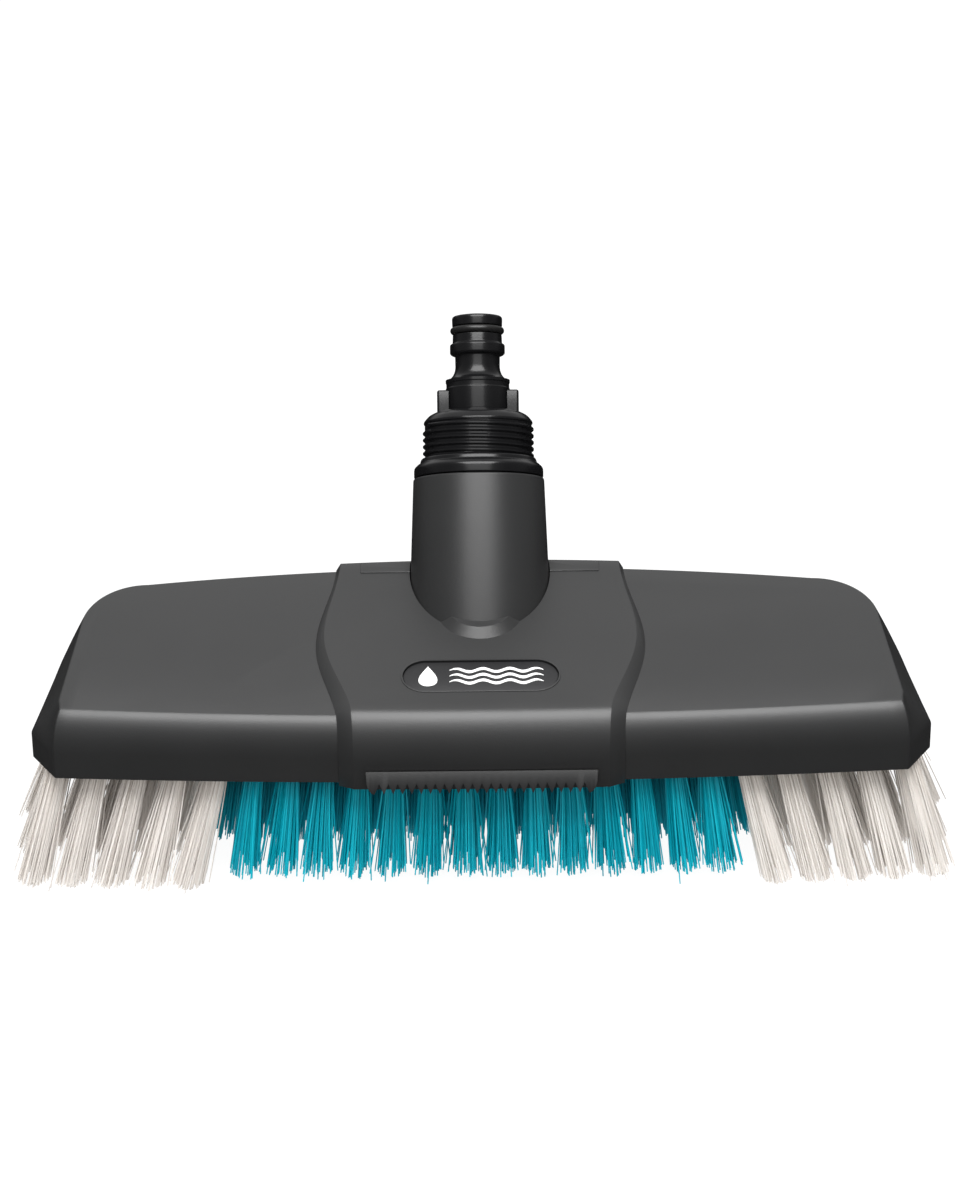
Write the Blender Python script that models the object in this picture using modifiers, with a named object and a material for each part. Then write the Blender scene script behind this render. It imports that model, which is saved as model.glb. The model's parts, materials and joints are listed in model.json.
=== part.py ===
"""A water-fed wash brush head with a click hose connector, as separate pieces."""

import math

import bmesh
import bpy
from mathutils import Matrix, Vector

# Driving dimensions, in metres and radians. Before the last shift, the bristle
# tips stand on z = 0, the front faces -Y and x = 0 is the middle of the head.
CLEARANCE = 0.0003
WALL = 0.002

# Lower outline of the housing (its skirt).
HALF_WIDTH = 0.137
FRONT_REACH = 0.039
REAR_REACH = 0.0395
FRONT_BULGE = 0.0048
REAR_BULGE = 0.002
NOSE_CHAMFER = (0.008, 0.0133)
END_TAPER = math.radians(7.6)
SKIRT_CORNER = 0.0295
SKIRT_BOTTOM = 0.037
LIP_HEIGHT = 0.008

# Upper panel of the housing, a plane that rises to the back.
PANEL_ABOVE_BLOCK = 0.01342
PANEL_SLOPE = math.radians(10.5)
PANEL_END_INSET = 0.0115
PANEL_FRONT_INSET = 0.0055
PANEL_REAR_INSET = 0.0025
PANEL_REAR_BULGE = 0.0069
PANEL_CORNER = 0.0193
PANEL_TAPER = math.radians(6.5)

# Saddle cover over the middle.
COVER_PROUD = 0.0025
COVER_DROP = 0.001
COVER_FRONT_HALF = 0.043
COVER_MIDDLE_HALF = 0.0505
COVER_REAR_HALF = 0.045
COVER_FRONT_BEVEL = 0.0038
COVER_BEVEL = 0.0022

# Handle socket and hose connector, on one axis that leans back.
SOCKET_TILT = math.radians(32.5)
SOCKET_AT_Y = 0.0323
SOCKET_LENGTH = 0.0285
SOCKET_TOP_RADIUS = 0.02055
SOCKET_LOW_RADIUS = 0.0216
SOCKET_WALL = 0.0026
SOCKET_FLOOR = 0.0024
SOCKET_REACH = -0.050
SCREW_FROM_SOCKET = 0.00448
FLANGE_BORDER = 0.005
FLANGE_FRONT = -0.025
FLANGE_REAR = 0.034

CONNECTOR_LENGTH = 0.0515
NIPPLE_BORE = 0.004
NIPPLE_STEM = 0.0069
THREAD_RADIUS = 0.01745
THREAD_DEPTH = 0.0011
THREAD_PITCH = 0.0021
THREAD_TURNS = 5
SPIGOT_DEPTH = 0.010
LUG_SIZE = (0.0038, 0.010, 0.0068)

# Brush block and bristles.
BLOCK_BOTTOM = 0.041
BLOCK_THICKNESS = 0.009
TROUGH_DEPTH = 0.0025
TROUGH_HALF_WIDTH = 0.003
TROUGH_HALF_LENGTH = 0.094
LID_THICKNESS = 0.0016
LID_BORDER = 0.0025
INLET_Y = 0.016
OUTLET_RADIUS = 0.0012
OUTLETS_PER_SIDE = 4
TUFT_ROOT_DEPTH = 0.0052
TUFT_ROOT_RADIUS = 0.0026
TEAL_TIP_RADIUS = 0.0063
WHITE_TIP_RADIUS = 0.0071
TEAL_PITCH = 0.0105
TEAL_TIP_HEIGHT = 0.005
WHITE_GAP = 0.011
TEAL_SPLAY = 0.132
WHITE_SPLAY = 0.268
# Each row: y, fore-aft splay, teal and white counts, margin from the end line,
# extra splay of the outermost tuft, share of the front bow it follows.
ROW_NAMES = ("y", "splay", "teal", "white", "margin", "extra", "bow")
ROWS = [
    dict(zip(ROW_NAMES, row))
    for row in (
        (-0.0280, -0.222, 14, 5, 0.0100, 0.00, 1.0),
        (-0.0105, -0.087, 15, 5, 0.0090, 0.06, 0.4),
        (0.0065, 0.087, 14, 5, 0.0076, 0.08, -0.2),
        (0.0235, 0.222, 15, 4, 0.0092, 0.10, -0.4),
    )
]

# Fasteners.
SCREW_HEAD = (0.0028, 0.002)
SCREW_SHANK = 0.00145
BLOCK_SCREW_X = (0.0560, 0.1105)
BOSS_RADIUS = 0.004

# Scraper strip and badge on the cover.
SCRAPER_WIDTH = 0.0718
SCRAPER_REACH = 0.005
SCRAPER_THICKNESS = 0.002
SCRAPER_DROOP = math.radians(20)
SCRAPER_ABOVE_LIP = 0.0050
SCRAPER_ROOT = 0.0016
TOOTH_PITCH = 0.0028
TOOTH_DEPTH = 0.0022
TOOTH_COUNT = 23
BADGE_LENGTH = 0.0468
BADGE_WIDTH = 0.0136
BADGE_Y = -0.019
BADGE_THICKNESS = 0.0006
BADGE_RECESS = 0.0011

# Nipple and collar; heights are counted down from the tip of the nipple.
INLET_OUTER = 0.0062
RING_GROOVE = (0.0037, 0.0057, 0.0067)
BODY_RADIUS = 0.0101
BODY_BOTTOM = 0.0302
COLLAR_TOP = 0.0305
COLLAR_SHOULDER = 0.0343
COLLAR_RING = 0.0453
COLLAR_FLANGE = 0.0471
COLLAR_FLANGE_BOTTOM = 0.0512
SEAL_HEIGHT = 0.0020

# Steps of round and rounded shapes.
ROUND_STEPS = 28
NIPPLE_STEPS = 24
RISE_STEPS = 6

# Sizes that follow from the ones above.
BLOCK_TOP = BLOCK_BOTTOM + BLOCK_THICKNESS
PANEL_HEIGHT = BLOCK_TOP + PANEL_ABOVE_BLOCK
LID_TOP = BLOCK_TOP + CLEARANCE + LID_THICKNESS
FLOOR_BOTTOM = LID_TOP + CLEARANCE
FLOOR_TOP = FLOOR_BOTTOM + SOCKET_FLOOR
BOSS_TOP = FLOOR_TOP + 0.0022
DUCT_LOW = BOSS_TOP + SEAL_HEIGHT + 2 * CLEARANCE
SOCKET_FLARE = (SOCKET_LOW_RADIUS - SOCKET_TOP_RADIUS) / SOCKET_LENGTH
SOCKET_SCREW_X = SOCKET_LOW_RADIUS + SOCKET_FLARE / 40 + SCREW_FROM_SOCKET
FLANGE_HALF_WIDTH = SOCKET_SCREW_X + FLANGE_BORDER


# Scene, materials and mesh helpers.
def clear_scene():
    for found in list(bpy.data.objects):
        bpy.data.objects.remove(found, do_unlink=True)


def make_collection(name):
    made = bpy.data.collections.new(name)
    bpy.context.scene.collection.children.link(made)
    return made


def make_material(name, color, roughness, metallic=0.0):
    made = bpy.data.materials.new(name)
    made.use_nodes = True
    shader = made.node_tree.nodes["Principled BSDF"]
    shader.inputs["Base Color"].default_value = (*color, 1.0)
    shader.inputs["Roughness"].default_value = roughness
    shader.inputs["Metallic"].default_value = metallic
    return made


def add_object(name, mesh, collection, parent=None):
    made = bpy.data.objects.new(name, mesh)
    collection.objects.link(made)
    made.parent = parent
    return made


def add_part(name, mesh, material, parent=None):
    made = add_object(name, mesh, PARTS, parent or HEAD)
    mesh.materials.append(material)
    return made


def add_cutter(name, mesh, parent=None):
    made = add_object(name, mesh, CUTTERS, parent or HEAD)
    made.hide_render = True
    made.display_type = "WIRE"
    return made


def mesh_from(name, shape):
    bmesh.ops.recalc_face_normals(shape, faces=shape.faces)
    made = bpy.data.meshes.new(name)
    shape.to_mesh(made)
    shape.free()
    return made


def boolean(target, other, operation):
    step = target.modifiers.new(operation.lower() + "_" + other.name, "BOOLEAN")
    step.operation = operation
    step.object = other
    step.solver = "EXACT"
    return step


def smooth(target, angle=math.radians(35)):
    target.data.shade_smooth()
    target.data.set_sharp_from_angle(angle=angle)


def add_box(shape, low, high):
    size = [high[i] - low[i] for i in range(3)]
    middle = [(high[i] + low[i]) / 2 for i in range(3)]
    place = Matrix.Translation(middle) @ Matrix.Diagonal((*size, 1.0))
    bmesh.ops.create_cube(shape, size=1.0, matrix=place)


def add_frustum(shape, low, high, low_radius, high_radius, segments):
    """A cone between two points whose end caps both stay horizontal."""
    axis = Vector(high) - Vector(low)
    lean = Matrix.Identity(4)
    lean[0][2] = axis.x / axis.z
    lean[1][2] = axis.y / axis.z
    place = Matrix.Translation((Vector(low) + Vector(high)) / 2) @ lean
    place = place @ Matrix.Rotation(math.pi / 6, 4, "Z")
    bmesh.ops.create_cone(
        shape, cap_ends=True, segments=segments,
        radius1=low_radius, radius2=high_radius, depth=axis.z, matrix=place,
    )


def box_mesh(name, low, high):
    shape = bmesh.new()
    add_box(shape, low, high)
    return mesh_from(name, shape)


def post_mesh(name, spots, low, high, radius, segments=16):
    """Upright round posts at each (x, y), from low to high."""
    shape = bmesh.new()
    for x, y in spots:
        add_frustum(shape, (x, y, low), (x, y, high), radius, radius, segments)
    return mesh_from(name, shape)


def plate_mesh(name, outline, low, high):
    """A flat outline, drawn as a filled curve and given its thickness."""
    curve = bpy.data.curves.new(name, "CURVE")
    curve.dimensions = "2D"
    curve.fill_mode = "BOTH"
    curve.extrude = (high - low) / 2
    line = curve.splines.new("POLY")
    line.points.add(len(outline) - 1)
    for point, (x, y) in zip(line.points, outline):
        point.co = (x, y, 0.0, 1.0)
    line.use_cyclic_u = True
    holder = bpy.data.objects.new(name, curve)
    bpy.context.scene.collection.objects.link(holder)
    graph = bpy.context.evaluated_depsgraph_get()
    made = bpy.data.meshes.new_from_object(holder.evaluated_get(graph))
    bpy.data.objects.remove(holder, do_unlink=True)
    shape = bmesh.new()
    shape.from_mesh(made)
    bmesh.ops.remove_doubles(shape, verts=shape.verts, dist=1e-6)
    bmesh.ops.translate(shape, verts=shape.verts, vec=(0.0, 0.0, (low + high) / 2))
    bpy.data.meshes.remove(made)
    return mesh_from(name, shape)


def profile_mesh(name, profile, closed):
    """The line of a turned piece, in the XZ plane."""
    made = bpy.data.meshes.new(name)
    count = len(profile)
    edges = [(i, i + 1) for i in range(count - 1)]
    if closed:
        edges.append((count - 1, 0))
    made.from_pydata([(r, 0.0, z) for r, z in profile], edges, [])
    return made


def turn(target, steps=ROUND_STEPS):
    screw = target.modifiers.new("turn", "SCREW")
    screw.axis = "Z"
    screw.angle = 2 * math.pi
    screw.steps = steps
    screw.render_steps = steps
    screw.use_merge_vertices = True
    screw.merge_threshold = 1e-6
    screw.use_smooth_shade = True


# Outlines shared by the housing, the cover and the block.
def corner_arc(half_width, nose_y, taper, radius, reach, bulge, steps):
    """Rear corner that runs off the slanted end line and meets the back edge."""
    centre_y = reach - bulge - radius
    centre_x = -half_width + math.tan(taper) * (centre_y - nose_y) + radius / math.cos(taper)
    start = math.pi - taper
    turn_by = (start - math.pi / 2) / steps
    angles = [start - turn_by * i for i in range(steps + 1)]
    return [(centre_x + radius * math.cos(a), centre_y + radius * math.sin(a)) for a in angles]


def half_outline(half_width, front, rear, bulges, chamfer, taper, radius):
    """Left half of an outline, from the middle of the front to the middle of the back."""
    nose_x = half_width - chamfer[0]
    points = []
    for i in range(8):
        x = nose_x * i / 7
        points.append((-x, -front + bulges[0] * (x / nose_x) ** 2))
    nose_y = points[-1][1] + chamfer[1]
    points.append((-half_width, nose_y))
    arc = corner_arc(half_width, nose_y, taper, radius, rear, bulges[1], 6)
    for share in (1 / 3, 2 / 3):
        x = -half_width + (arc[0][0] + half_width) * share
        points.append((x, nose_y + (arc[0][1] - nose_y) * share))
    points += arc
    for i in range(5, -1, -1):
        share = i / 6
        points.append((arc[-1][0] * share, rear - bulges[1] * share ** 2))
    return points


def skirt_half():
    bulges = (FRONT_BULGE, REAR_BULGE)
    return half_outline(
        HALF_WIDTH, FRONT_REACH, REAR_REACH, bulges, NOSE_CHAMFER, END_TAPER, SKIRT_CORNER
    )


def panel_half():
    half_width = HALF_WIDTH - PANEL_END_INSET
    front = FRONT_REACH - PANEL_FRONT_INSET
    rear = REAR_REACH - PANEL_REAR_INSET
    bulges = (FRONT_BULGE, PANEL_REAR_BULGE)
    return half_outline(
        half_width, front, rear, bulges, (0.0005, 0.004), PANEL_TAPER, PANEL_CORNER
    )


def panel_z(y):
    return PANEL_HEIGHT + math.tan(PANEL_SLOPE) * y


def outline_y(half, x, rear):
    """Where the front or the rear edge of a half outline crosses x."""
    runs = half[13:] if rear else half[:8]
    runs = sorted(runs)
    want = -abs(x)
    for (xa, ya), (xb, yb) in zip(runs, runs[1:]):
        if xa <= want <= xb:
            return ya + (yb - ya) * (want - xa) / (xb - xa)
    return runs[-1][1]


def half_width_at(half, y):
    """Half width of an outline at a given y, on its nose and end lines."""
    runs = half[7:15]
    for (xa, ya), (xb, yb) in zip(runs, runs[1:]):
        if ya <= y <= yb:
            return -(xa + (xb - xa) * (y - ya) / (yb - ya))
    return -runs[0][0]


def full_outline(half, inset):
    """Both halves as one loop, moved inwards by an even amount."""
    mirrored = [(-x, y) for x, y in reversed(half[1:-1])]
    loop = half + mirrored
    count = len(loop)
    moved = []
    for i in range(count):
        before = Vector(loop[i - 1])
        here = Vector(loop[i])
        after = Vector(loop[(i + 1) % count])
        a = (here - before).normalized()
        b = (after - here).normalized()
        inward = Vector((a.y + b.y, -a.x - b.x)).normalized()
        across = max(0.3, inward.dot(Vector((a.y, -a.x))))
        moved.append(tuple(here + inward * inset / across))
    return moved


def rise(share, roundness):
    """How far across and up a wall has come at a share of its height."""
    angle = share * math.pi / 2
    across = share + (1 - math.cos(angle) - share) * roundness
    up = share + (math.sin(angle) - share) * roundness
    return across, up


def roundness_of(index, count):
    """Front and rear edges are rounded over; the end walls are straight."""
    if index < 8:
        return 1.0
    if index < 12:
        return 0.0
    return min(0.75, 0.75 * (index - 11) / 5)


def share_at(up, roundness):
    """Share of a wall's height, as counted by rise, where it has come up this far."""
    low, high = 0.0, 1.0
    for _ in range(30):
        middle = (low + high) / 2
        if rise(middle, roundness)[1] < up:
            low = middle
        else:
            high = middle
    return low


def wall_half(height):
    """Left half of the wall's outline at a height above the lip."""
    low, high = skirt_half(), panel_half()
    lip = SKIRT_BOTTOM + LIP_HEIGHT
    points = []
    for i, (x, y) in enumerate(low):
        roundness = roundness_of(i, len(low))
        up = (height - lip) / (panel_z(high[i][1]) - lip)
        across = rise(share_at(up, roundness), roundness)[0]
        points.append((x + (high[i][0] - x) * across, y + (high[i][1] - y) * across))
    return points


# Housing.
def housing_skin():
    low, high = skirt_half(), panel_half()
    count = len(low)
    rings = [[(x, y, SKIRT_BOTTOM) for x, y in low]]
    lip = SKIRT_BOTTOM + LIP_HEIGHT
    for step in range(RISE_STEPS + 1):
        ring = []
        for i in range(count):
            across, up = rise(step / RISE_STEPS, roundness_of(i, count))
            x = low[i][0] + (high[i][0] - low[i][0]) * across
            y = low[i][1] + (high[i][1] - low[i][1]) * across
            top = panel_z(high[i][1])
            ring.append((x, y, lip + (top - lip) * up))
        rings.append(ring)
    shape = bmesh.new()
    made = [[shape.verts.new(point) for point in ring] for ring in rings]
    for lower, upper in zip(made, made[1:]):
        for i in range(count - 1):
            shape.faces.new((lower[i + 1], lower[i], upper[i], upper[i + 1]))
    shape.faces.new(made[-1])
    mesh = bpy.data.meshes.new("housing_shell")
    bmesh.ops.recalc_face_normals(shape, faces=shape.faces)
    shape.normal_update()
    lid = max(shape.faces, key=lambda face: len(face.verts))
    if lid.normal.z < 0:
        bmesh.ops.reverse_faces(shape, faces=shape.faces)
    shape.to_mesh(mesh)
    shape.free()
    return mesh


def strip_y(first, second, x):
    """Middle of the strip between two rows of tufts."""
    return (row_y(ROWS[first], x) + row_y(ROWS[second], x)) / 2


def block_screw_spots():
    spots = []
    for x in BLOCK_SCREW_X:
        for side in (-1, 1):
            spots.append((side * x, strip_y(0, 1, x)))
            spots.append((side * x, strip_y(2, 3, x)))
    return spots


def make_housing():
    shell = add_part("housing_shell", housing_skin(), GREY)
    mirror = shell.modifiers.new("both_halves", "MIRROR")
    mirror.merge_threshold = 1e-5
    walls = shell.modifiers.new("wall", "SOLIDIFY")
    walls.thickness = WALL
    walls.offset = -1.0
    walls.use_even_offset = True
    for index, (x, y) in enumerate(block_screw_spots()):
        top = panel_z(y) - WALL / 2
        name = f"boss_{index + 1}"
        boss = post_mesh(name, [(x, y)], BLOCK_TOP + CLEARANCE, top, BOSS_RADIUS)
        boolean(shell, add_cutter(name, boss), "UNION")
    pilots = post_mesh(
        "pilot_holes", block_screw_spots(), SKIRT_BOTTOM, pilot_top(), SCREW_SHANK + CLEARANCE
    )
    boolean(shell, add_cutter("pilot_holes", pilots), "DIFFERENCE")
    boolean(shell, socket_hole(), "DIFFERENCE")
    return shell


def pilot_top():
    return BLOCK_TOP + 0.0060


def screw_tip():
    return BLOCK_TOP + 0.0052


# Cover.
def section(x):
    """Front to back section of the housing at x, as (y, z)."""
    low, high = skirt_half(), panel_half()
    points = []
    for rear in (False, True):
        low_y, high_y = outline_y(low, x, rear), outline_y(high, x, rear)
        lip, top = SKIRT_BOTTOM + LIP_HEIGHT, panel_z(high_y)
        roundness = 0.75 if rear else 1.0
        wall = [(low_y, SKIRT_BOTTOM - COVER_DROP)]
        for step in range(RISE_STEPS + 1):
            across, up = rise(step / RISE_STEPS, roundness)
            wall.append((low_y + (high_y - low_y) * across, lip + (top - lip) * up))
        points.append(wall)
    front, back = points
    start, end = front[-1][0], back[-1][0]
    middle = []
    for i in range(1, 7):
        y = start + (end - start) * i / 7
        middle.append((y, panel_z(y)))
    return front + middle + back[::-1]


def offset_section(points, distance):
    """A section moved outwards by an even distance; its ends stay level."""
    moved = []
    last = len(points) - 1
    for i, (y, z) in enumerate(points):
        before = Vector(points[max(0, i - 1)])
        after = Vector(points[min(last, i + 1)])
        along = (after - before).normalized()
        outward = Vector((-along.y, along.x))
        if i in (0, last):
            outward = Vector((-1.0 if i == 0 else 1.0, 0.0))
        moved.append((y + outward.x * distance, z + outward.y * distance))
    return moved


def cover_half_width(y):
    end = COVER_FRONT_HALF if y < 0 else COVER_REAR_HALF
    span = FRONT_REACH + COVER_PROUD if y < 0 else REAR_REACH
    bump = 0.5 + 0.5 * math.cos(math.pi * min(1.0, abs(y) / span))
    return end + (COVER_MIDDLE_HALF - end) * bump


def cover_bevel(y):
    share = min(1.0, max(0.0, -y / FRONT_REACH))
    return COVER_BEVEL + (COVER_FRONT_BEVEL - COVER_BEVEL) * share


def cover_sheet(shape, distance, inner):
    """One skin of the cover, as columns of points from front to back."""
    columns = 8
    base = section(0.0)
    sheet = []
    for j in range(len(base)):
        y = base[j][0]
        half = cover_half_width(y) - (0.0 if inner else cover_bevel(y))
        row = []
        for k in range(columns + 1):
            x = half * (2 * k / columns - 1)
            point_y, point_z = offset_section(section(x), distance)[j]
            row.append(shape.verts.new((x, point_y, point_z)))
        sheet.append(row)
    return sheet


def cover_mesh():
    shape = bmesh.new()
    outer = cover_sheet(shape, COVER_PROUD, False)
    inner = cover_sheet(shape, CLEARANCE, True)
    rows, columns = len(outer), len(outer[0])
    for sheet in (outer, inner):
        for j in range(rows - 1):
            for k in range(columns - 1):
                corners = (sheet[j][k], sheet[j][k + 1], sheet[j + 1][k + 1], sheet[j + 1][k])
                shape.faces.new(corners)
    for j in range(rows - 1):
        for k in (0, -1):
            shape.faces.new((outer[j][k], outer[j + 1][k], inner[j + 1][k], inner[j][k]))
    for k in range(columns - 1):
        for j in (0, -1):
            shape.faces.new((outer[j][k], outer[j][k + 1], inner[j][k + 1], inner[j][k]))
    return mesh_from("center_cover", shape)


def badge_frame():
    """Centre and turn of the badge, on the cover's upper face."""
    rise_by = COVER_PROUD / math.cos(PANEL_SLOPE)
    centre = Vector((0.0, BADGE_Y, panel_z(BADGE_Y) + rise_by))
    return Matrix.Translation(centre) @ Matrix.Rotation(PANEL_SLOPE, 4, "X")


def stadium(length, width, steps=8):
    radius = width / 2
    offset = length / 2 - radius
    points = []
    for side in (1, -1):
        for i in range(steps + 1):
            angle = side * math.pi / 2 - math.pi * i / steps
            points.append((side * offset + radius * math.cos(angle), radius * math.sin(angle)))
    return points


def scraper_frame():
    """Root edge of the scraper on the cover's front face; +Y runs into the cover."""
    front = -(FRONT_REACH + COVER_PROUD)
    height = SKIRT_BOTTOM - COVER_DROP + SCRAPER_ABOVE_LIP
    return Matrix.Translation((0.0, front, height)) @ Matrix.Rotation(SCRAPER_DROOP, 4, "X")


def make_cover():
    cover = add_part("center_cover", cover_mesh(), GREY)
    recess = plate_mesh(
        "badge_recess", stadium(BADGE_LENGTH + 2 * CLEARANCE, BADGE_WIDTH + 2 * CLEARANCE),
        -BADGE_RECESS, 0.002,
    )
    recess.transform(badge_frame())
    boolean(cover, add_cutter("badge_recess", recess), "DIFFERENCE")
    half = SCRAPER_WIDTH / 2 + CLEARANCE
    slot = box_mesh(
        "scraper_slot",
        (-half, -0.006, -SCRAPER_THICKNESS / 2 - CLEARANCE),
        (half, SCRAPER_ROOT + CLEARANCE, SCRAPER_THICKNESS / 2 + CLEARANCE),
    )
    slot.transform(scraper_frame())
    boolean(cover, add_cutter("scraper_slot", slot), "DIFFERENCE")
    boolean(cover, socket_hole(), "DIFFERENCE")
    return cover


def make_badge():
    floor = -BADGE_RECESS + CLEARANCE
    outline = stadium(BADGE_LENGTH, BADGE_WIDTH)
    mesh = plate_mesh("badge_plate", outline, floor, floor + BADGE_THICKNESS)
    mesh.transform(badge_frame())
    return add_part("badge_plate", mesh, DARK_GREY)


def scraper_outline():
    """Toothed front edge, rounded lower corners and a straight root."""
    half = SCRAPER_WIDTH / 2
    toothed = TOOTH_PITCH * TOOTH_COUNT / 2
    corner = half - toothed
    points = [(half, SCRAPER_ROOT), (-half, SCRAPER_ROOT), (-half, 0.0)]
    depth = SCRAPER_REACH
    for i in range(1, 4):
        angle = math.pi / 2 * i / 4
        points.append((-half + corner * (1 - math.cos(angle)), -depth * math.sin(angle)))
    for i in range(TOOTH_COUNT):
        x = -toothed + TOOTH_PITCH * i
        points.append((x, -depth))
        points.append((x + TOOTH_PITCH / 2, -depth + TOOTH_DEPTH))
    points.append((toothed, -depth))
    for i in range(3, 0, -1):
        angle = math.pi / 2 * i / 4
        points.append((half - corner * (1 - math.cos(angle)), -depth * math.sin(angle)))
    points.append((half, 0.0))
    return points


def make_scraper():
    mesh = plate_mesh("scraper_blade", scraper_outline(), -SCRAPER_THICKNESS / 2, SCRAPER_THICKNESS / 2)
    mesh.transform(scraper_frame())
    return add_part("scraper_blade", mesh, GREY)


# Handle socket.
def socket_foot():
    """Point where the connector's axis passes through the cover."""
    rise_by = COVER_PROUD / math.cos(PANEL_SLOPE)
    return Vector((0.0, SOCKET_AT_Y, panel_z(SOCKET_AT_Y) + rise_by))


def axis_point(distance):
    along = Vector((0.0, math.sin(SOCKET_TILT), math.cos(SOCKET_TILT)))
    return socket_foot() + along * distance


def socket_radius(distance):
    return SOCKET_LOW_RADIUS - SOCKET_FLARE * distance


def axis_frustum(name, low, high, extra, segments=ROUND_STEPS):
    shape = bmesh.new()
    place = Matrix.Translation(socket_foot()) @ Matrix.Rotation(-SOCKET_TILT, 4, "X")
    place = place @ Matrix.Translation((0.0, 0.0, (low + high) / 2))
    bmesh.ops.create_cone(
        shape, cap_ends=True, segments=segments, depth=high - low,
        radius1=socket_radius(low) + extra, radius2=socket_radius(high) + extra, matrix=place,
    )
    return mesh_from(name, shape)


def below_block(name, height):
    """Everything under a height, around the foot of the socket."""
    return add_cutter(name, box_mesh(name, (-0.06, -0.08, -0.04), (0.06, 0.12, height)))


def socket_hole():
    found = bpy.data.objects.get("socket_hole")
    if found:
        return found
    hole = add_cutter("socket_hole", axis_frustum("socket_hole", SOCKET_REACH, 0.05, CLEARANCE))
    boolean(hole, below_block("under_socket_hole", FLOOR_BOTTOM - CLEARANCE), "DIFFERENCE")
    return hole


def socket_screw_spots():
    spots = []
    for side in (-1, 1):
        spots.append((side * SOCKET_SCREW_X, strip_y(0, 1, SOCKET_SCREW_X)))
        spots.append((side * SOCKET_SCREW_X, strip_y(2, 3, SOCKET_SCREW_X)))
    return spots


def make_socket():
    cone = axis_frustum("handle_socket", SOCKET_REACH, SOCKET_LENGTH, 0.0)
    socket = add_part("handle_socket", cone, GREY)
    boolean(socket, below_block("under_socket", FLOOR_BOTTOM), "DIFFERENCE")
    flange = box_mesh(
        "socket_flange",
        (-FLANGE_HALF_WIDTH, FLANGE_FRONT, FLOOR_BOTTOM),
        (FLANGE_HALF_WIDTH, FLANGE_REAR, FLOOR_TOP),
    )
    boolean(socket, add_cutter("socket_flange", flange), "UNION")
    bore = add_cutter("socket_bore", axis_frustum("socket_bore", SOCKET_REACH, 0.05, -SOCKET_WALL))
    boolean(bore, below_block("under_bore", FLOOR_TOP), "DIFFERENCE")
    boolean(socket, bore, "DIFFERENCE")
    inlet = post_mesh(
        "inlet_passage", [(0.0, INLET_Y)], BLOCK_TOP, FLOOR_TOP + 0.001, INLET_OUTER + CLEARANCE
    )
    boolean(socket, add_cutter("inlet_passage", inlet), "DIFFERENCE")
    holes = post_mesh(
        "flange_holes", socket_screw_spots(), BLOCK_TOP, FLOOR_TOP + 0.001, SCREW_SHANK + CLEARANCE
    )
    boolean(socket, add_cutter("flange_holes", holes), "DIFFERENCE")
    smooth(socket)
    return socket


# Hose connector.
def add_axis_empty():
    made = bpy.data.objects.new("connector_axis", None)
    PARTS.objects.link(made)
    made.parent = HEAD
    made.location = axis_point(SOCKET_LENGTH + CONNECTOR_LENGTH)
    made.rotation_euler = (-SOCKET_TILT, 0.0, 0.0)
    return made


def make_nipple(axis):
    groove_top, groove_bottom, groove_radius = RING_GROOVE
    bottom = CONNECTOR_LENGTH + SPIGOT_DEPTH
    fillet = []
    for i in range(5):
        angle = math.pi / 2 * i / 4
        fillet.append((BODY_RADIUS - 0.0031 * math.cos(angle), 0.0162 + 0.0042 * math.sin(angle)))
    outer = [
        (0.0060, 0.0), (0.0072, 0.0005), (0.00795, 0.0018), (0.00795, groove_top),
        (groove_radius, groove_top), (groove_radius, groove_bottom), (0.0080, groove_bottom),
        (0.0080, 0.0086), (0.00863, 0.0094), (0.00863, 0.0117), (0.0079, 0.0124),
        (0.00705, 0.0125),
    ]
    outer += fillet
    outer += [(BODY_RADIUS, BODY_BOTTOM), (NIPPLE_STEM, BODY_BOTTOM), (NIPPLE_STEM, bottom)]
    inner = [(NIPPLE_BORE, bottom), (NIPPLE_BORE, 0.0)]
    profile = [(radius, -depth) for radius, depth in outer + inner]
    mesh = profile_mesh("quick_connect_nipple", profile, True)
    nipple = add_part("quick_connect_nipple", mesh, BLACK, axis)
    turn(nipple, NIPPLE_STEPS)
    return nipple


def make_nipple_ring(axis):
    """A rubber ring with a round outer side, seated in the nipple's groove."""
    groove_top, groove_bottom, groove_radius = RING_GROOVE
    inside = groove_radius + CLEARANCE
    high, low = groove_top + CLEARANCE, groove_bottom - CLEARANCE
    middle, reach = (high + low) / 2, 0.00845
    half = (low - high) / 2
    profile = [(inside, -high)]
    for i in range(7):
        angle = math.pi * i / 6
        profile.append((reach - half + half * math.sin(angle), -middle + half * math.cos(angle)))
    profile.append((inside, -low))
    ring = add_part("nipple_o_ring", profile_mesh("nipple_o_ring", profile, True), RUBBER, axis)
    turn(ring, NIPPLE_STEPS)
    return ring


def thread_profile():
    root = THREAD_RADIUS - THREAD_DEPTH
    points = []
    for i in range(THREAD_TURNS):
        top = COLLAR_SHOULDER + 0.0004 + THREAD_PITCH * i
        points += [
            (root, top), (THREAD_RADIUS, top + THREAD_PITCH * 0.3),
            (THREAD_RADIUS, top + THREAD_PITCH * 0.5), (root, top + THREAD_PITCH * 0.8),
        ]
    return points


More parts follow.
